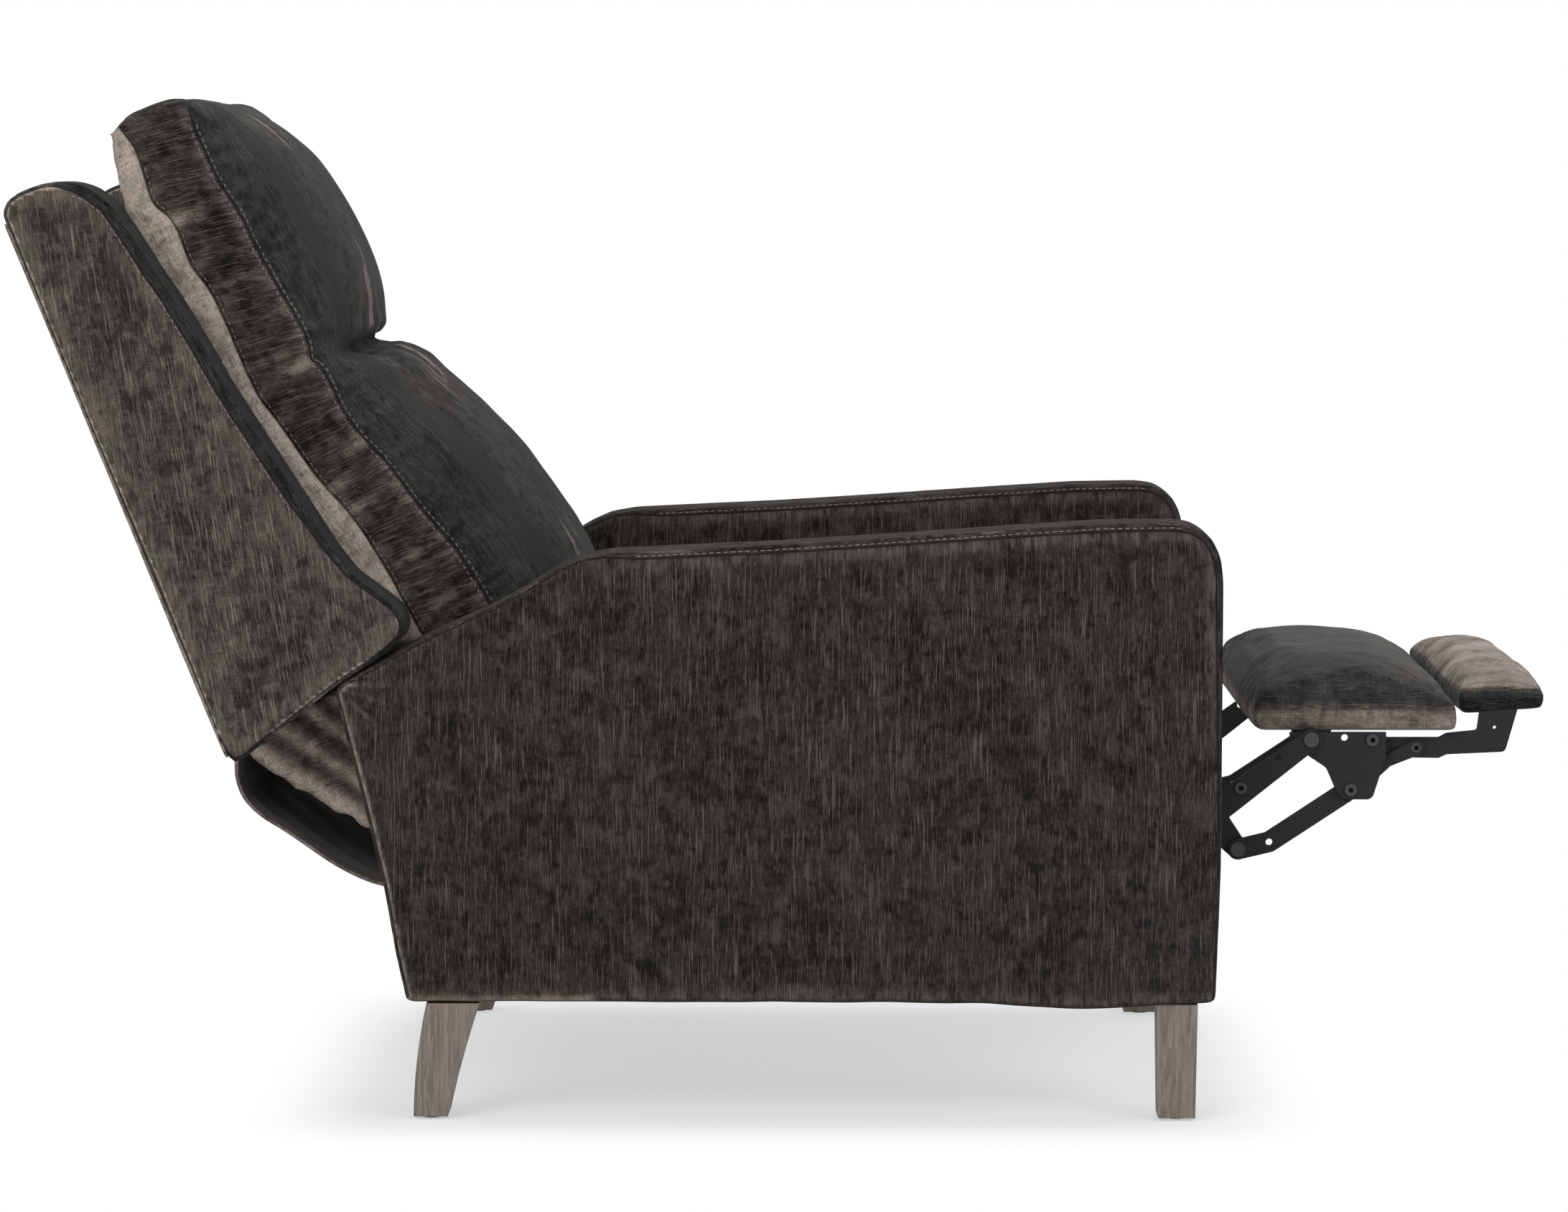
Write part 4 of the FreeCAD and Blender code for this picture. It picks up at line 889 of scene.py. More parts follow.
def wing(side, name):
    outline = round_corners(WING_OUTLINE, WING_ROUNDING)
    made = upholstered_slab(name, outline, WING_IN, WING_OUT)
    co, normal = points_of(made), normals_of(made)
    flat = co[:, [0, 2]]
    z = flat[:, 1]
    depth, where = line_distance(flat, outline, True)
    on_side = side_facing(normal)
    outward = np.sign(normal[:, 1])
    lean = turned(flat, WING_LEAN)
    puff = noise_at(co, 8.0, 11.0 + side) * 0.0018 + noise_at(co, 24.0, 5.0) * 0.0009
    move = on_side * (0.0028 * (1 - bell(depth, 0.045)) + puff * (1 - bell(depth, 0.015)))
    front = wing_front(flat)
    seam_at = 0.0035 + 0.0075 * front * np.clip((z - 0.56) / 0.1, 0.12, 1)
    move += (-0.0020 * bell(depth - seam_at, 0.003) + 0.0013 * bell(depth - seam_at + 0.005, 0.004) * front) * on_side
    pucker = 0.5 + 0.5 * np.sin(where * 2 * math.pi / PUCKER_SPACING + 6 * noise_at(co, 10.0, 4.0))
    move -= 0.0010 * bell(depth - seam_at - 0.012, 0.010) * pucker * on_side
    co[:, 1] += outward * move
    seed = side * 0.61
    wander = 0.002 * noise_at(co, 6.0, 6.0)
    flat_on = on_side > 0.2
    cloth = columns(np.where(flat_on, lean[:, 0], where) + wander, np.where(flat_on, lean[:, 1], co[:, 1]), seed)
    past = columns(co[:, 1] - depth * 1.5, where, seed)
    border = seam_at - depth + np.where(on_side > 0.02, 0.0, 0.01)
    edge = columns(border, NO_SEAM, seed)
    rear = 1 - front
    # Painted light and shade: past its seam the wing's cloth paints the border dark, and along most of the rear edge
    # this is lifted back to about its base tone; the wing is darker towards its bottom, with some tone at random.
    tone = 1.55 * ramp(border, -0.002, 0.002) * rear * (z > 0.41)
    tone = tone - 0.1 * fall(z, 0.62, 0.2) + 0.12 * noise_at(co, 5.0, 12.0)
    rub = bell(depth - seam_at - 0.008, 0.009) * on_side * (0.30 * front + 0.45 * rear)
    dress(made, cloth, past, edge, tone, rub)
    set_on_side(made, co, side)
    finished(made, WING_CLOTH, "seat_unit", "cover", 0.7, "wing_left" if side > 0 else "wing_right")
    line = inset_line(outline, 0.0135)
    keep = (wing_front(line) > 0.6) & (line[:, 1] > 0.64)
    line = np.roll(line, -int(np.argmax(keep & ~np.roll(keep, 1))), axis=0)[:int(np.sum(keep))]
    stitched_faces(made, name, line, side, 0, "seat_unit")


def wing_front(flat):
    """1 on the front half of a wing, 0 on its rear and lower edge."""
    ahead = flat[:, 0] + 0.4 * flat[:, 1]
    return ramp(ahead, -0.375, 0.03) * ramp(flat[:, 1] + 0.9 * flat[:, 0], 0.085, 0.03)


wing(-1, "wing_upholstery_right")
wing(1, "wing_upholstery_left")


# ---------------------------------------------------------------- outside back

BACK_FOOT, BACK_LEAN = np.array((-0.596, 0.376)), math.radians(22)
UP = np.array((-math.sin(BACK_LEAN), math.cos(BACK_LEAN)))
OUT = np.array((math.cos(BACK_LEAN), math.sin(BACK_LEAN)))


def back_point(up, out):
    return BACK_FOOT + UP * up + OUT * out


def in_back(flat):
    rel = flat - BACK_FOOT
    return rel @ UP, rel @ OUT


def outside_back():
    foot, height, near, far, half = 0.005, 0.609, 0.0094, 0.0124, 0.3655
    corners = [back_point(foot, near), back_point(height, near), back_point(height, far), back_point(foot, far)]
    outline = round_corners(corners, 0.0012)
    drawn = outline * 0.985 + outline.mean(0) * 0.015
    cuts, end = 120, half - 0.0015
    stations = np.r_[-half, np.linspace(-end, end, cuts), half]
    made = swept_solid("outside_back_upholstery", stations, [drawn] + [outline] * cuts + [drawn])
    co = points_of(made)
    up, out = in_back(co[:, [0, 2]])
    rim = np.minimum(np.minimum(half - np.abs(co[:, 1]), up), height - up)
    rear = out < 0.0109
    fullness = 0.0016 * (1 - bell(np.maximum(rim, 0), 0.06)) + noise_at(co, 7.0, 21.0) * 0.0009
    pucker = np.sin((co[:, 1] + up) * 2 * math.pi / 0.026 + 5 * noise_at(co, 9.0, 2.0)) * bell(rim - 0.020, 0.01)
    move = np.where(rear, -np.maximum(fullness - 0.0018 * bell(rim - 0.010, 0.0028) - 0.0008 * pucker, -0.001), 0)
    co[:, 0] += OUT[0] * move
    co[:, 2] += OUT[1] * move
    cloth = columns(co[:, 1] + 0.002 * noise_at(co, 6.0, 1.0), up + out, 0.0)
    past = columns(out - np.abs(co[:, 1]), up, 1.0)
    edge = columns(np.where(rear, 0.010 - rim, 0.01), NO_SEAM, up)
    # Its rim faces are painted lighter: painted light.
    dress(made, cloth, past, edge, 0.5 * (rim < 0.004), bell(rim - 0.018, 0.008) * 0.4 * rear)
    set_points(made, co)
    finished(made, BACK_CLOTH, "seat_unit", "cover", 0.5, "outside_back")


outside_back()


# ---------------------------------------------------------------- back cushion

CUSHION_SIDE = [
    (-0.7170, 1.014), (-0.711, 1.044), (-0.699, 1.0600), (-0.677, 1.0685), (-0.649, 1.0765), (-0.634, 1.070),
    (-0.628, 1.046), (-0.617, 1.020),
    (-0.602, 0.988), (-0.5785, 0.951), (-0.563, 0.918), (-0.5395, 0.875), (-0.5165, 0.836), (-0.508, 0.812),
    (-0.5065, 0.799), (-0.493, 0.789), (-0.474, 0.750), (-0.454, 0.720), (-0.426, 0.690), (-0.387, 0.638),
    (-0.352, 0.597), (-0.321, 0.547), (-0.295, 0.497), (-0.280, 0.462), (-0.290, 0.430), (-0.35, 0.409),
    (-0.50, 0.392), (-0.522, 0.400), (-0.560, 0.492), (-0.645, 0.73),
]
CUSHION_MIDDLE = [
    (-0.7180, 1.014), (-0.713, 1.046), (-0.701, 1.0640), (-0.678, 1.0725), (-0.652, 1.0765), (-0.615, 1.072),
    (-0.576, 1.055), (-0.536, 1.024),
    (-0.5075, 0.984), (-0.482, 0.942), (-0.466, 0.905), (-0.4565, 0.870), (-0.455, 0.842), (-0.4600, 0.820),
    (-0.4640, 0.811), (-0.436, 0.8125), (-0.398, 0.790), (-0.3485, 0.753), (-0.303, 0.708), (-0.2665, 0.659),
    (-0.238, 0.620), (-0.2165, 0.575), (-0.203, 0.535), (-0.198, 0.495), (-0.215, 0.462), (-0.30, 0.436),
    (-0.50, 0.396), (-0.522, 0.402), (-0.560, 0.492), (-0.645, 0.73),
]


def matched(first, second, step):
    """Two closed outlines with the same corners, cut into the same number of even steps between them."""
    a, b = np.array(first), np.array(second)
    rows_a, rows_b = [], []
    for i in range(len(a)):
        j = (i + 1) % len(a)
        count = max(1, int(round(max(np.linalg.norm(a[j] - a[i]), np.linalg.norm(b[j] - b[i])) / step)))
        for n in range(count):
            t = n / count
            rows_a.append(spline(a, i, t))
            rows_b.append(spline(b, i, t))
    return np.array(rows_a), np.array(rows_b)


def spline(p, i, t):
    return between(p[i - 1], p[i], p[(i + 1) % len(p)], p[(i + 2) % len(p)], t)


STRIP_SEAM = [
    (-0.715, 1.052), (-0.708, 1.045), (-0.690, 1.019), (-0.673, 0.967), (-0.651, 0.945), (-0.634, 0.902),
    (-0.606, 0.859), (-0.567, 0.769), (-0.5395, 0.730), (-0.504, 0.679), (-0.461, 0.629), (-0.426, 0.574),
    (-0.407, 0.5385), (-0.387, 0.502), (-0.36, 0.45),
]
CUSHION_HALF, CUSHION_SLACK = 0.2715, 0.012
# Past this share of its half width, a point of the cushion belongs to its side.
SIDE_SHARE = 0.8
# x, z, length, width, lean in degrees, how far out
PUCKERS = [
    (-0.643, 0.948, 0.026, 0.010, 16, 0.0045), (-0.5165, 0.793, 0.024, 0.009, 24, 0.0040),
    (-0.456, 0.7085, 0.026, 0.008, 28, 0.0035), (-0.482, 0.6625, 0.020, 0.010, 38, 0.0035),
    (-0.461, 0.640, 0.024, 0.008, 30, 0.0035), (-0.676, 1.000, 0.022, 0.007, 14, 0.0020),
    (-0.592, 0.880, 0.030, 0.005, 18, 0.0025), (-0.545, 0.800, 0.028, 0.005, 22, 0.0025),
    (-0.400, 0.590, 0.028, 0.006, 30, 0.0030), (-0.372, 0.540, 0.024, 0.007, 30, 0.0025),
]


def ahead_of(flat, line):
    """How far each point lies in front of a seam that falls across the side view: less than zero behind it."""
    gap, where = line_distance(flat, line)
    order = np.argsort(line[:, 1])
    x_at = np.interp(flat[:, 1], line[order, 1], line[order, 0])
    return np.where(flat[:, 0] > x_at, gap, -gap), where


def back_cushion():
    side, middle = matched(CUSHION_SIDE, CUSHION_MIDDLE, 0.008)
    shares = both_ways(-1, -0.985, -0.96, -0.92, -0.86, -0.78, -0.68, -0.56, -0.42, -0.28, -0.14, 0)
    slack = np.interp(middle[:, 1], [0.80, 0.86], [1.0, 0.5])[:, None] * CUSHION_SLACK
    middle = middle + (inset_line(middle, 1.0) - middle) * slack
    profiles = [side + (middle - side) * (1 - abs(s) ** 3.0) ** 0.62 for s in shares]
    made = settled(swept_solid("back_cushion_upholstery", shares * CUSHION_HALF, profiles), 0.006, 3)
    co = points_of(made)
    flat = co[:, [0, 2]]
    front_line = curve_through(CUSHION_SIDE[5:23], 0.006)
    strip_line = curve_through(STRIP_SEAM, 0.006)
    share = np.abs(co[:, 1]) / CUSHION_HALF
    at_front, _ = line_distance(flat, front_line)
    pins = np.clip(bell(at_front, 0.006) * ramp(share, 0.9, 0.07) + (in_back(flat)[1] < 0.13), 0, 1)
    inflated(made, 4.0, 0.014, pins, 16)
    baked(made, kind="SUBSURF", levels=1)
    co, normal = points_of(made), normals_of(made)
    flat = co[:, [0, 2]]
    share = np.abs(co[:, 1]) / CUSHION_HALF
    up, out = in_back(flat)
    past_front, front_run = ahead_of(flat, front_line)
    past_strip, strip_run = ahead_of(flat, strip_line)
    reach, window = 14, np.ones(29) / 29
    calm = np.stack([np.convolve(np.pad(strip_line[:, k], reach, "reflect", reflect_type="odd"), window, "valid")
                     for k in (0, 1)], 1)
    calm_strip, calm_run = ahead_of(flat, calm)
    facing_side = side_facing(normal, 0.45)
    crease_z = np.interp(share, [0, 0.5, 0.8, 1], [0.8125, 0.812, 0.806, 0.797])
    crease_gap = co[:, 2] - crease_z - 0.004 * noise_at(columns(co[:, 1] * 12, share, share), 1.0, 3.0)
    in_front = ramp(out, 0.26, 0.03)
    sunk = bell(crease_gap, 0.0055) * in_front
    roll = (bell(crease_gap - 0.02, 0.012) + bell(crease_gap + 0.022, 0.013)) * in_front
    rays = np.sin(co[:, 1] * 2 * math.pi / 0.062 + 4 * noise_at(co, 6.0, 9.0)) * bell(crease_gap, 0.05) * in_front
    band_gap, strip_gap = np.abs(past_front), np.abs(past_strip)
    ripple_place = columns(front_run * 30, share, share)
    ripple = np.sin(front_run * 2 * math.pi / 0.033 + 6 * noise_at(ripple_place, 1.0, 4.0))
    tug = np.sin(strip_run * 2 * math.pi / 0.041 + 6 * noise_at(co, 9.0, 14.0))
    move = -0.0085 * sunk + 0.003 * roll + 0.0016 * rays * (1 - facing_side)
    grooves = 0.0030 * bell(band_gap, 0.0042) + 0.0030 * bell(strip_gap, 0.0042) * fall(co[:, 2], 1.035, 0.03)
    move -= grooves * ramp(share, 0.85, 0.1)
    move += (0.0017 * bell(band_gap - 0.012, 0.016) * ripple
             + 0.0014 * bell(strip_gap - 0.012, 0.016) * tug * facing_side)
    move += noise_at(co, 9.0, 31.0) * 0.0030 + noise_at(co, 28.0, 33.0) * 0.0011
    lit = np.zeros(len(co))
    for x, z, length, width, lean, lift in PUCKERS:
        local = turned(flat - (x, z), lean)
        here = bell(local[:, 0], length) * bell(local[:, 1], width) * (share > SIDE_SHARE)
        under = bell(local[:, 0], length * 1.1) * bell(local[:, 1] + width * 1.7, width) * (share > SIDE_SHARE)
        move += lift * here - 0.7 * lift * under
        lit = np.maximum(lit, here * min(1.0, lift / 0.0042))
    co += normal * move[:, None]
    limit = 0.2757 - 0.0365 * fall(co[:, 2], 0.50, 0.025) * fall(co[:, 0], -0.33, 0.04)
    co[:, 1] = np.clip(co[:, 1], -limit, limit)
    set_points(made, co)
    seed = 0.2
    skew = np.interp(calm_run, [0.0, 0.75], [0.30, 0.11])
    drift = 0.0015 * noise_at(co, 6.0, 17.0)
    cloth = columns(calm_run - skew * calm_strip + drift, calm_strip, seed + np.sign(co[:, 1]))
    behind = (past_front < 0) & ((np.abs(normal[:, 1]) < 0.4) | (share < 0.9))
    cloth = np.where(behind[:, None], columns(co[:, 1] + drift, up - out, seed + 6), cloth)
    front_place = columns(np.abs(co[:, 1]) - past_front + drift, front_run, seed + np.sign(co[:, 1]))
    inner = fall(np.abs(co[:, 1]), 0.22, 0.04)[:, None]
    front_place = front_place * (1 - inner) + columns(co[:, 1] + drift, up - 0.4 * out, seed) * inner
    strip_place = columns(calm_strip + co[:, 1] + drift, calm_run, seed + 3)
    nearer_front = (band_gap < strip_gap)[:, None]
    past = np.where(nearer_front, front_place, strip_place)
    hidden = share < 0.75
    edge = columns(np.where(hidden & (past_front < 0), -0.01, past_front),
                   np.minimum(-past_strip, (np.abs(normal[:, 1]) - 0.42) * 0.02), seed)
    # Painted light and shade: the puckers, and the ridges beside the strip's seam, lighter; the band between the seams
    # darker away from the strip and near the crown; the front lighter at random, where it faces up or down and on the
    # roll above the crease, with painted sheen in wisps. Past the front seam its cloth paints the front dark and cool,
    # and past the strip's seam the strip light.
    tone = 0.5 * lit + 0.30 * bell(strip_gap, 0.012) * np.clip(tug, 0, 1) * (past_strip > 0)
    tone -= 0.25 * ramp(past_strip, 0.05, 0.05) * (past_front < 0)
    tone -= 0.35 * bell(co[:, 2] - 1.062, 0.03) * (past_front < 0) * (past_strip > 0)
    tone += (0.22 * np.clip(noise_at(co, 4.0, 3.0) + 0.1, 0, 1) * (past_front > 0)
             + 0.5 * in_front * bell(crease_gap - 0.02, 0.01) * 0.4)
    tone += 0.28 * np.clip((np.abs(normal[:, 2]) - 0.5) * 2, 0, 1) * (past_front > 0)
    painted_sheen_wisps = noise_at(columns(co[:, 1] * 60, front_run * 7, seed), 1.0, 41.0) + 0.6 * noise_at(co, 11.0, 43.0)
    tone += 2.3 * np.clip(painted_sheen_wisps - 0.02, 0, 0.6) * bell(share - 0.30, 0.40) * (past_front > 0)
    # Lighter pile along the seams, and a painted highlight on the crests of their ripples.
    rub = bell(past_front + 0.006, 0.006) * (0.28 + 0.25 * ripple)
    rub = rub + 0.3 * bell(past_strip - 0.01, 0.01) * (0.5 + 0.5 * tug)
    # The crease is painted dark: painted shade.
    dress(made, cloth, past, edge, tone - bell(crease_gap, 0.0045) * in_front, rub * facing_side)
    finished(made, CUSHION_CLOTH, "seat_unit", "cushion", 0.75, "back_cushion")
    rows = (("front_inner", front_line[4:-3], -0.0042), ("front_outer", front_line[4:-3], 0.0030),
            ("strip", strip_line[10:-6], 0.0038))
    for way in (-1, 1):
        for row, line, offset in rows:
            ahead = headings(line)
            path = onto(made, line + columns(-ahead[:, 1], ahead[:, 0]) * offset, way)
            path = path[np.abs(path[:, 1]) > 0.235]
            if len(path) > 4:
                side_name = "left" if way > 0 else "right"
                stitches("cushion_%s_stitches_%s" % (row, side_name), path, (0, way, 0), "seat_unit")


back_cushion()


# ---------------------------------------------------------------- seat cushion and border

SEAT_FRONT, SEAT_SLOPE = np.array((0.3413, 0.4409)), math.radians(13.5)
SEAT_BACK = np.array((-math.cos(SEAT_SLOPE), -math.sin(SEAT_SLOPE)))
SEAT_UP = np.array((-math.sin(SEAT_SLOPE), math.cos(SEAT_SLOPE)))


def seat_point(back, up):
    return SEAT_FRONT + SEAT_BACK * back + SEAT_UP * up


def in_seat(flat):
    rel = flat - SEAT_FRONT
    return rel @ SEAT_BACK, rel @ SEAT_UP


SEAT_HALF = 0.277
SEAT_TOP_SEAM, SEAT_FOOT_SEAM = 0.112, 0.058


def soft_block(name, profile, half, voxel, squareness, draw):
    """A stuffed block: a rounded side profile that draws in towards its two ends."""
    centre = profile.mean(0)
    shares = both_ways(-1, -0.99, -0.965, -0.92, -0.85, -0.75, -0.6, -0.4, -0.2, 0)
    profiles = []
    for s in shares:
        grown = (1 - abs(s) ** squareness) ** 0.5
        profiles.append(centre + (profile - centre) * (draw + (1 - draw) * grown))
    return settled(swept_solid(name, shares * half, profiles), voxel, 3)


def seat_cushion():
    corners = [seat_point(0.004, 0.048), seat_point(0.0, 0.118), seat_point(0.06, 0.131), seat_point(0.25, 0.136),
               seat_point(0.44, 0.131), seat_point(0.495, 0.116), seat_point(0.497, 0.050)]
    outline = round_corners(corners, [0.012, 0.035, 0.08, 0.1, 0.08, 0.03, 0.012], 0.006)
    made = soft_block("seat_cushion_upholstery", outline, 0.2755, 0.0065, 5.0, 0.93)
    co = points_of(made)
    _, up = in_seat(co[:, [0, 2]])
    inflated(made, 3.5, 0.010, np.clip(bell(up - 0.048, 0.008), 0, 1), 14)
    co, normal = points_of(made), normals_of(made)
    co[:, 1] = np.clip(co[:, 1], -SEAT_HALF, SEAT_HALF)
    back, up = in_seat(co[:, [0, 2]])
    rim = np.minimum(np.minimum(SEAT_HALF - np.abs(co[:, 1]), back), 0.5 - back)
    at_rim = rim < 0.02
    ripple = np.sin((co[:, 1] + back) * 2 * math.pi / 0.036 + 5 * noise_at(co, 8.0, 3.0))
    move = -0.0025 * np.maximum(bell(up - SEAT_TOP_SEAM, 0.0035), bell(up - SEAT_FOOT_SEAM, 0.003)) * at_rim
    move += 0.0018 * ripple * bell(up - SEAT_TOP_SEAM, 0.02) * (rim < 0.05)
    move += noise_at(co, 8.0, 41.0) * 0.003 + noise_at(co, 25.0, 43.0) * 0.0012
    co += normal * move[:, None]
    co[:, 1] = np.clip(co[:, 1], -0.2775, 0.2775)
    set_points(made, co)
    seed = 0.4
    sideways, upwards = np.abs(normal[:, 1]) > 0.6, np.abs(normal[:, 2]) > 0.6
    drift = 0.002 * noise_at(co, 6.0, 2.0)
    cloth = columns(np.where(sideways, back, co[:, 1]) + drift, np.where(upwards, back, up), seed)
    past = columns(co[:, 1] + drift, back, seed + 1)
    edge = columns(np.where(up > 0.09, up - SEAT_TOP_SEAM, -0.01),
                   np.where(at_rim & (up < 0.08), SEAT_FOOT_SEAM - up, -0.01), seed)
    # Past its top seam the seat's cloth paints the top darker: painted sheen. The pile turns lighter beside the top
    # seam, most as a painted highlight on the crests of its ripples.
    dress(made, cloth, past, edge, 0.0, bell(up - 0.104, 0.01) * (rim < 0.03) * (0.4 + 0.3 * ripple))
    finished(made, SEAT_CLOTH, "seat_unit", "cushion", 0.8, "seat_cushion")


seat_cushion()


def plain_cover(name, corners, radius, half, cad, body, leaning, seed, fullness):
    """A strip of cloth over a board or batting, straight across the chair, with soft edges."""
    outline = round_corners(corners, radius, 0.004)
    drawn = outline * 0.97 + outline.mean(0) * 0.03
    stations = [-half, -half + 0.003, half - 0.003, half]
    made = settled(swept_solid(name, stations, [drawn, outline, outline, drawn]), 0.005, 3)
    co, normal = points_of(made), normals_of(made)
    co += normal * (noise_at(co, 14.0, seed) * 0.0012)[:, None]
    set_points(made, co)
    lean = turned(co[:, [0, 2]], leaning)
    gap, _ = line_distance(co[:, [0, 2]], outline, True)
    cloth = columns(np.where(np.abs(normal[:, 1]) > 0.6, lean[:, 0], co[:, 1]), lean[:, 1], seed)
    dress(made, cloth, rub=0.3 * bell(gap, 0.01) * (0.5 + noise_at(co, 40.0, seed)))
    finished(made, BACK_CLOTH, body, "cover", fullness, cad)


plain_cover("front_border_upholstery", [seat_point(0.0005, 0.001), seat_point(0.0005, 0.0445),
                                        seat_point(0.0205, 0.0445), seat_point(0.0205, 0.001)],
            [0.006, 0.006, 0.002, 0.002], 0.2765, "seat_front_border", "seat_unit", 13.5, 4.0, 0.6)


def arm_rear_x(z):
    """Where the rear edge of the arms stands at a height."""
    return -0.3935 - (z - 0.124) * 0.2225


PANEL_LOW, PANEL_HIGH, PANEL_BEHIND, PANEL_AHEAD = 0.1245, 0.2355, 0.0065, 0.0085
plain_cover("lower_rear_panel_upholstery",
            [(arm_rear_x(PANEL_LOW) - PANEL_BEHIND, PANEL_LOW), (arm_rear_x(PANEL_LOW) + PANEL_AHEAD, PANEL_LOW),
             (arm_rear_x(PANEL_HIGH) + PANEL_AHEAD, PANEL_HIGH), (arm_rear_x(PANEL_HIGH) - PANEL_BEHIND, PANEL_HIGH)],
            [0.003, 0.002, 0.003, 0.005], 0.279, "lower_rear_panel", "base", -12.5, 9.0, 0.4)


# ---------------------------------------------------------------- boxed lower back

CHEEK_IN, CHEEK_OUT = 0.2415, 0.2705
# The angle at which the cheek's threads lean.
CHEEK_LEAN = -70


def lower_back(side, name):
    """One of the two cloth cheeks of the boxed lower back, with folds along its lower edge."""
    corners = [(-0.5785, 0.3745), (-0.529, 0.342), (-0.486, 0.3175), (-0.442, 0.2925), (-0.384, 0.2755),
               (-0.150, 0.3265), (-0.171, 0.421), (-0.196, 0.455), (-0.300, 0.440), (-0.440, 0.464), (-0.520, 0.430),
               (-0.572, 0.398)]
    rounding = [0.003] + [0.02] * 3 + [0.03, 0.004] + [0.01] * 3 + [0.004, 0.003, 0.003]
    outline = round_corners(corners, rounding, 0.005)
    made = upholstered_slab(name, outline, CHEEK_IN, CHEEK_OUT)
    co, normal = points_of(made), normals_of(made)
    flat = co[:, [0, 2]]
    on_side = side_facing(normal)
    lower_edge = np.array([(-0.58, 0.377)] + corners[1:5])
    gap, where = line_distance(flat, lower_edge)
    folds = np.sin(gap * 2 * math.pi / 0.034 + 3 * noise_at(co, 9.0, 3.0)) * 0.0022
    ragged = noise_at(columns(where * 45, 0.0, 0.0), 1.0, 5.0)
    co[:, 1] += np.sign(normal[:, 1]) * on_side * np.clip(folds + noise_at(co, 20.0, 6.0) * 0.0014, -0.004, 0.003)
    low = bell(gap, 0.008)
    co[:, 0] += low * ragged * 0.003
    co[:, 2] += low * ragged * 0.005
    lean = turned(flat, CHEEK_LEAN)
    cloth = columns(lean[:, 0] + 0.004 * noise_at(co, 8.0, 2.0), lean[:, 1], float(side))
    # Painted light and shade: the cheek lighter and darker in step with the folds of its lower edge, lighter in a band
    # just above that edge, and lighter all over.
    tone = 0.30 * np.sin(gap * 2 * math.pi / 0.034 + 3 * noise_at(co, 9.0, 3.0))
    tone = tone + 0.45 * bell(gap - 0.006, 0.010) + 0.42
    dress(made, cloth, tone=tone, rub=0.55 * bell(gap - 0.006, 0.009) * (0.5 + noise_at(co, 45.0, 8.0)))
    set_on_side(made, co, side)
    finished(made, WING_CLOTH, "seat_unit", "cover", 0.4, "lower_back_cheeks")


lower_back(-1, "lower_back_cheek_right")
lower_back(1, "lower_back_cheek_left")

UNDERLINING_HALF, UNDERLINING_THICKNESS = 0.2385, 0.0035


def lower_back_bottom():
    """The lining stretched between the cheeks, under the lower back."""
    line = curve_through([(-0.572, 0.3835), (-0.529, 0.3525), (-0.486, 0.3245), (-0.444, 0.300), (-0.384, 0.2785),
                          (-0.27, 0.300), (-0.152, 0.3285)], 0.008)
    rows = np.linspace(-UNDERLINING_HALF, UNDERLINING_HALF, 60)
    verts = []
    for layer in (0, 1):
        for y in rows:
            for x, z in line:
                ripple = 0.0018 * math.sin(y * 60 + x * 25) + 0.0012 * math.sin(y * 143 - x * 60)
                verts.append((x, y, z + ripple + layer * UNDERLINING_THICKNESS))
    made = two_layers("lower_back_underlining", verts, len(rows), len(line), LINING)
    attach(made, "seat_unit")
    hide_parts("lower_back_bottom")


lower_back_bottom()


# ---------------------------------------------------------------- tail cloth

TAIL_HALF = 0.2715
TAIL_LINE = [(-0.5875, 0.3705), (-0.586, 0.352), (-0.578, 0.332), (-0.561, 0.314), (-0.538, 0.2985), (-0.510, 0.280),
             (-0.478, 0.260), (-0.449, 0.245), (-0.4245, 0.237)]


def tail_cloth():
    """The loose cloth that hangs from the foot of the back to the rear panel, with a hem along each side."""
    line = curve_through(TAIL_LINE, 0.005)
    rows = np.linspace(-TAIL_HALF, TAIL_HALF, 100)
    ahead = headings(line)
    down = columns(ahead[:, 1], -ahead[:, 0]) * -1
    verts = []
    for layer in (0, 1):
        for y in rows:
            share = y / TAIL_HALF
            for k, (x, z) in enumerate(line):
                t = k / (len(line) - 1)
                loose = math.sin(math.pi * t)
                wave = 0.004 * loose * math.sin(y * 21 + 1.3 * math.sin(y * 9))
                wave = wave + 0.0012 * loose * math.sin(y * 90 + t * 9)
                hem = 0.002 * loose * math.exp(-((1 - abs(share)) / 0.02) ** 2)
                thickness = 0.0016 + 0.002 * math.exp(-((1 - abs(share)) / 0.012) ** 2)
                d = wave + hem - 0.004 * loose * (1 - share * share) + layer * thickness
                verts.append((x - down[k, 0] * d, y, z - down[k, 1] * d))
    made = two_layers("tail_cloth_hanging", verts, len(rows), len(line), TAIL_CLOTH, True)
    co = points_of(made)
    _, where = line_distance(co[:, [0, 2]], line)
    hem = bell(TAIL_HALF - np.abs(co[:, 1]), 0.006)
    cloth = columns(co[:, 1], where, 0.9)
    # Painted light and shade: the hems lighter, the rest of the cloth darker.
    dress(made, cloth, tone=0.8 * hem - 0.4, rub=0.35 * hem)
    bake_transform(made)
    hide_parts("tail_cloth")


tail_cloth()


# ---------------------------------------------------------------- footrest and flipper pads

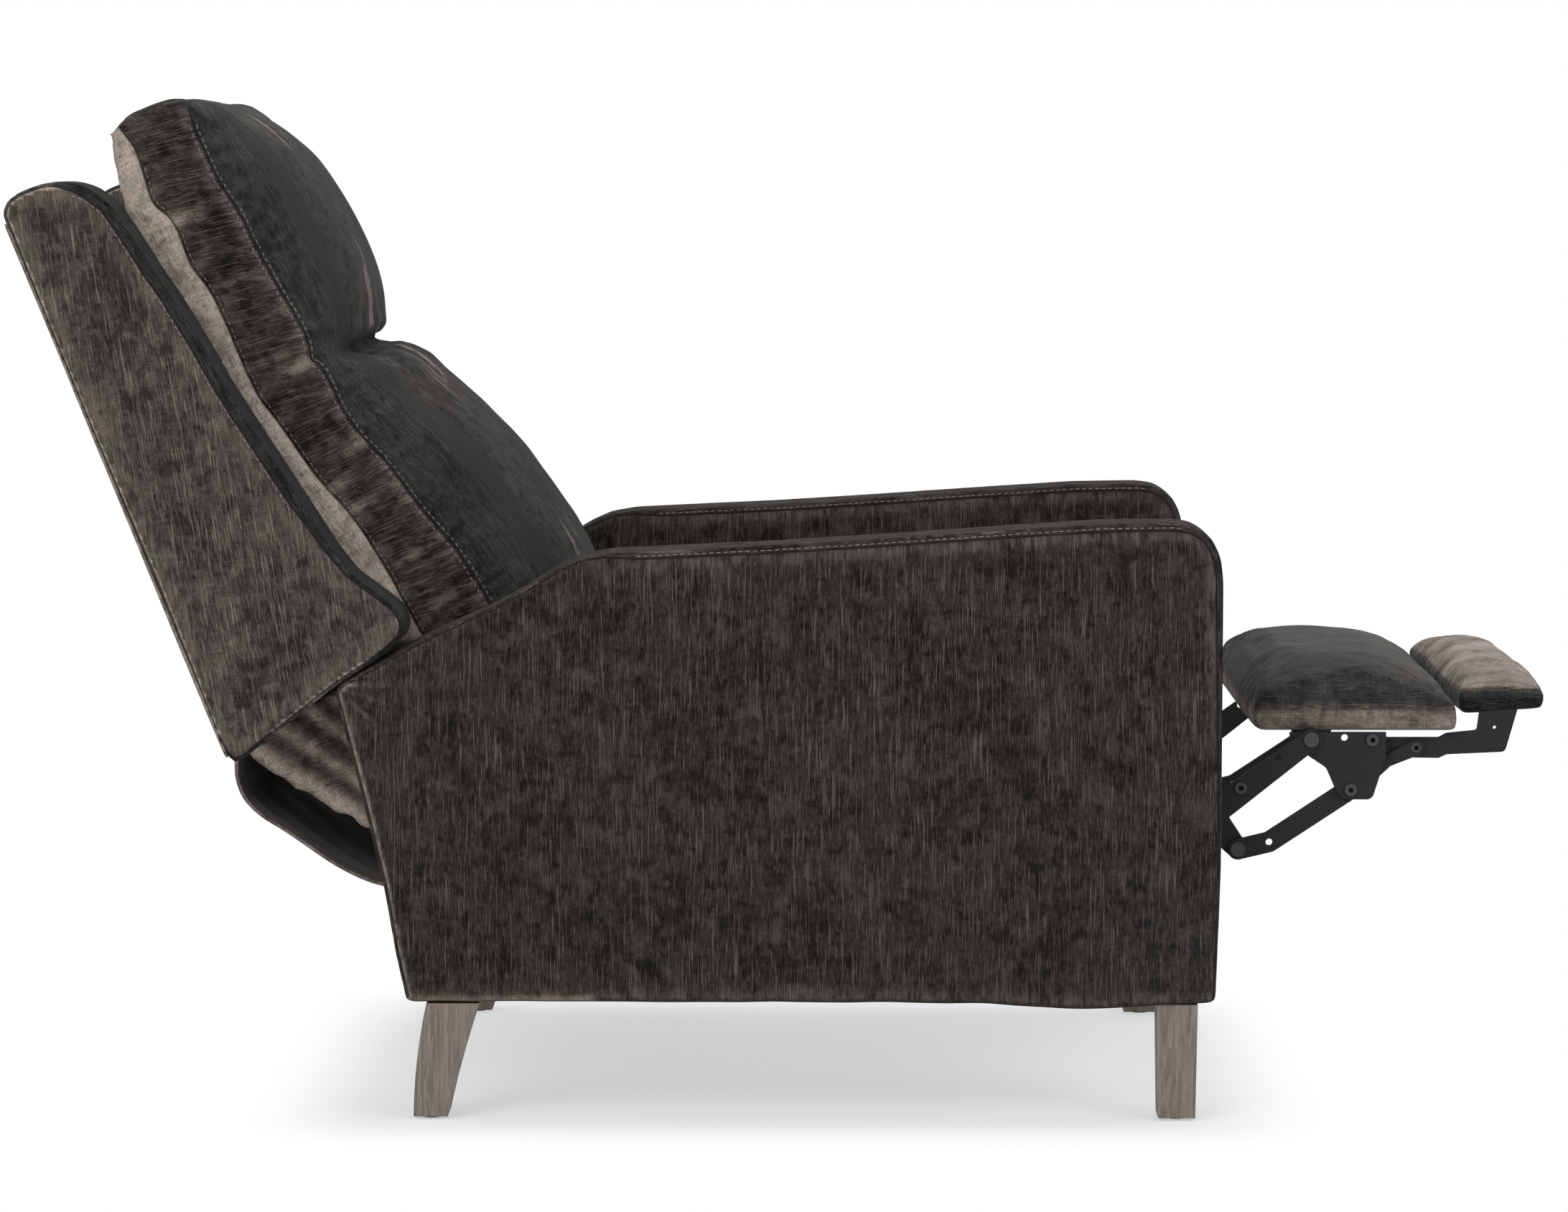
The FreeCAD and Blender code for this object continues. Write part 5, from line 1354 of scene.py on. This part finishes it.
def footrest_pad():
    corners = [(0.4975, 0.4035), (0.4960, 0.440), (0.505, 0.466), (0.535, 0.4740), (0.585, 0.4755), (0.630, 0.4740),
               (0.668, 0.4665), (0.702, 0.4515), (0.7175, 0.434), (0.7185, 0.4035)]
    outline = round_corners(corners, [0.006, 0.02, 0.02, 0.04, 0.05, 0.05, 0.05, 0.02, 0.02, 0.006], 0.005)
    made = pad_block("footrest_pad_upholstery", outline, 0.2625, 0.4320, 1.0)
    dress_pad(made, "footrest", ["footrest_pad", "footrest_board"], 51.0, 0.4035, 0.0260, 0.40, -0.75, -0.15)


def flipper_pad():
    corners = [(0.7195, 0.4205), (0.7180, 0.446), (0.726, 0.4630), (0.748, 0.4665), (0.772, 0.4680), (0.795, 0.4640),
               (0.809, 0.4540), (0.8117, 0.4405), (0.8100, 0.4260)]
    outline = round_corners(corners, [0.005, 0.012, 0.015, 0.02, 0.02, 0.02, 0.012, 0.008, 0.006], 0.004)
    made = pad_block("flipper_pad_upholstery", outline, 0.2455, 0.440, 0.85)
    dress_pad(made, "flipper", ["flipper_pad", "flipper_board"], 61.0, 0.4205, 0.0225, -1.8, 0.48, 0.68)


def pad_block(name, outline, half, edge_z, fullness):
    """A pad flat below whose top falls and draws in towards its ends."""
    shares = both_ways(-1, -0.992, -0.975, -0.945, -0.90, -0.83, -0.74, -0.6, -0.4, -0.2, 0)
    centre = outline.mean(0)
    profiles = []
    for s in shares:
        grown = (1 - abs(s) ** 3.4) ** 0.55
        p = outline.copy()
        above = p[:, 1] > edge_z
        p[above, 1] = edge_z + (p[above, 1] - edge_z) * (0.30 + 0.70 * grown)
        p[:, 0] = centre[0] + (p[:, 0] - centre[0]) * (1 - 0.022 * (1 - grown) * fullness)
        profiles.append(p)
    made = settled(swept_solid(name, shares * half, profiles), 0.0048, 3)
    low, high = outline.min(0), outline.max(0)
    return stretched_to(made, (low[0], -half, low[1]), (high[0], half, high[1]))


def dress_pad(made, body, cad, seed, low, seam_up, side_painted_light, top_painted_light, rear_painted_light):
    """Fills the pad, tucks its edge, and lays its cloth with painted light and shade: its side below the edge of its
    top painted darker than the top on one pad and lighter on the other, and the rear of the top painted a tone of its
    own.
    """
    co = points_of(made)
    box_low, box_high = co.min(0), co.max(0)
    inflated(made, 3.5, 0.006, fall(co[:, 2], low + 0.008, 0.006), 14)
    co, normal = points_of(made), normals_of(made)
    co = np.clip(co, box_low - (0.001, 0.001, 0.0), box_high + (0.0002, 0.001, 0.002))
    ripple = np.sin((co[:, 1] + co[:, 0]) * 2 * math.pi / 0.028 + 5 * noise_at(co, 9.0, seed))
    side = side_facing(normal, 0.35)
    edge = 1 - np.clip(np.abs(normal[:, 2]) - 0.3, 0, 1) / 0.7
    move = noise_at(co, 13.0, seed) * 0.0022 + noise_at(co, 32.0, seed + 1) * 0.001 + 0.0012 * ripple * edge
    move = move - 0.0012 * bell(co[:, 2] - low - 0.006, 0.008) * (0.5 + 0.5 * ripple)
    move[normal[:, 2] < -0.6] = 0
    co += normal * move[:, None]
    set_points(made, co)
    drift = 0.002 * noise_at(co, 8.0, seed + 2)
    cloth = columns(np.where(side > 0.5, co[:, 2], co[:, 1]) + drift, co[:, 0], seed)
    past = columns(co[:, 1] - 0.8 * co[:, 2] + drift, co[:, 0] + 0.3 * co[:, 2], seed + 1)
    rise = co[:, 2] - low - seam_up + 0.004 * noise_at(co, 10.0, seed + 3)
    height = ramp(co[:, 2] - low, seam_up, 0.03)
    tone = side_painted_light + (top_painted_light - side_painted_light) * np.clip(rise / 0.012 + 0.5, 0, 1)
    reach = ramp(co[:, 0], co[:, 0].min(), co[:, 0].max() - co[:, 0].min())
    tone += ((rear_painted_light - top_painted_light) * 0.6 * height * np.clip(reach * 1.4 - 0.6, 0, 1)
             + 0.25 * noise_at(co, 18.0, seed + 5))
    rub = bell(co[:, 2] - low - 0.010, 0.012) * 0.5 * (0.5 + noise_at(co, 30.0, seed + 3)) * edge * (side_painted_light > 0)
    dress(made, cloth, past, None, np.clip(tone, -2, 1), rub)
    finished(made, PAD_CLOTH, body, "cushion", 0.85, *cad)


footrest_pad()
flipper_pad()


# ---------------------------------------------------------------- finishes on the carried-over solids

STEEL_NODES = [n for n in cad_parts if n.startswith((
    "base_plate", "base_cross", "front_swing", "rear_swing", "seat_plate", "back_brackets", "drive_", "support_link",
    "long_link_", "footrest_bracket", "guide_link_", "flipper_plate", "flipper_controls"))]
RIVET_NODES = ["base_bolts", "base_rivets", "seat_rivets", "long_link_rivets", "footrest_rivets", "guide_link_rivets",
               "flipper_rivets"]
WOOD_NODES = ["rear_rail", "seat_side_rails", "seat_cross_rails", "back_posts", "back_cross_rails", "footrest_board",
              "flipper_board", "arm_frame_right", "arm_frame_left"]
LEG_NODES = ["front_leg_right", "front_leg_left", "rear_leg_right", "rear_leg_left"]


SHARP_EDGE = math.radians(35)

for names, finish, bevel in ((STEEL_NODES, BLACK_STEEL, 0.0004), (RIVET_NODES, RIVET_STEEL, 0.0006),
                             (WOOD_NODES, FRAME_WOOD, 0.001), (LEG_NODES, LEG_OAK, 0.0015),
                             (["leg_glides"], GLIDE_NYLON, 0.0004), (["seat_webbing"], WEBBING, None)):
    for node_name in names:
        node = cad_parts[node_name]
        node.data.materials.clear()
        node.data.materials.append(finish)
        if bevel:
            eased = node.modifiers.new("eased_edges", "BEVEL")
            eased.width, eased.segments, eased.limit_method = bevel, 2, "ANGLE"
            eased.angle_limit, eased.harden_normals = SHARP_EDGE, True


# ---------------------------------------------------------------- floor, backdrop and light

# Half of the chair's footprint along and across, and how far its shade reaches beyond.
FOOTPRINT, SHADE_REACH = (0.41, 0.36), 0.17


def floor():
    """White paper that glows to the camera, but for a soft shade under and around the chair."""
    size = 30.0
    made = mesh_object("studio_floor", [(-size, -size, 0), (size, -size, 0), (size, size, 0), (-size, size, 0)],
                       [(0, 1, 2, 3)], smooth=False)
    material = bpy.data.materials.new("studio_paper")
    material.use_nodes = True
    w = Wires(material.node_tree)
    nodes = material.node_tree.nodes
    shader = nodes["Principled BSDF"]
    place = w.object_place()
    tone = w.spread(w.clouds(place, 3.0, 2.0), 0.3, 0.7, 0.84, 0.86)
    w.feed(shader.inputs["Base Color"], w.grey(tone))
    shader.inputs["Roughness"].default_value = 0.95
    shader.inputs["Specular IOR Level"].default_value = 0.05
    parts = w.add("ShaderNodeSeparateXYZ")
    w.feed(parts.inputs[0], place)
    beside = []
    for n, reach in enumerate(FOOTPRINT):
        away = w.sum("SUBTRACT", w.sum("ABSOLUTE", parts.outputs[n]), reach)
        away = w.sum("MAXIMUM", away, 0.0)
        beside.append(w.times(away, away))
    away = w.sum("SQRT", w.sum("ADD", beside[0], beside[1]))
    # Near the chair less of the floor glows, least towards its front, so that the real shade under the chair shows
    # deeper: a painted deepening of the shade.
    near_edge = w.spread(parts.outputs[1], -0.36, -0.05, 0.50, 0.585)
    white = w.spread(away, 0.0, SHADE_REACH)
    path = w.add("ShaderNodeLightPath")
    seen = w.sum("MAXIMUM", path.outputs["Is Camera Ray"], path.outputs["Is Glossy Ray"])
    glow = w.add("ShaderNodeEmission")
    # Near the chair the glow is faintly blue: a painted cool tint in the shade.
    w.feed(glow.inputs["Color"], w.blend(white, (0.972, 0.99, 1.0, 1), (1.0, 1.0, 1.0, 1)))
    glow.inputs["Strength"].default_value = 1.0
    mix = w.add("ShaderNodeMixShader")
    share = w.sum("ADD", near_edge, w.times(white, w.sum("SUBTRACT", 1.0, near_edge)))
    w.feed(mix.inputs[0], w.times(seen, share))
    w.feed(mix.inputs[1], shader.outputs[0])
    w.feed(mix.inputs[2], glow.outputs[0])
    w.feed(nodes["Material Output"].inputs["Surface"], mix.outputs[0])
    made.data.materials.append(material)


floor()

world = bpy.data.worlds.new("studio")
scene.world = world
world.use_nodes = True
sky = Wires(world.node_tree)
light_path = sky.add("ShaderNodeLightPath")
lit = world.node_tree.nodes["Background"]
lit.inputs["Color"].default_value = (1.0, 1.0, 1.0, 1)
seen_by = sky.sum("MAXIMUM", light_path.outputs["Is Camera Ray"], light_path.outputs["Is Glossy Ray"])
seen_by = sky.sum("MAXIMUM", seen_by, light_path.outputs["Is Transmission Ray"])
sky.feed(lit.inputs["Strength"], sky.spread(seen_by, 0.0, 1.0, 0.55, 1.0))


def lamp(name, place, aim, size, watts, colour):
    data = bpy.data.lights.new(name, "AREA")
    data.shape = "RECTANGLE"
    data.size, data.size_y = size
    data.energy = watts
    data.color = colour
    made = bpy.data.objects.new(name, data)
    made.location = place
    made.rotation_euler = (Vector(aim) - Vector(place)).to_track_quat("-Z", "Y").to_euler()
    scene.collection.objects.link(made)


lamp("soft_key", (-2.6, -3.6, 3.2), (-0.1, 0, 0.5), (2.6, 2.2), 95, (1.0, 0.985, 0.96))
lamp("soft_fill", (3.4, -3.0, 2.2), (0.1, 0, 0.4), (2.4, 2.4), 55, (0.96, 0.98, 1.0))
lamp("top_bank", (0.2, 0.6, 3.6), (0, 0, 0.4), (3.2, 2.4), 60, (0.98, 0.99, 1.0))

scene.view_settings.view_transform = "Standard"
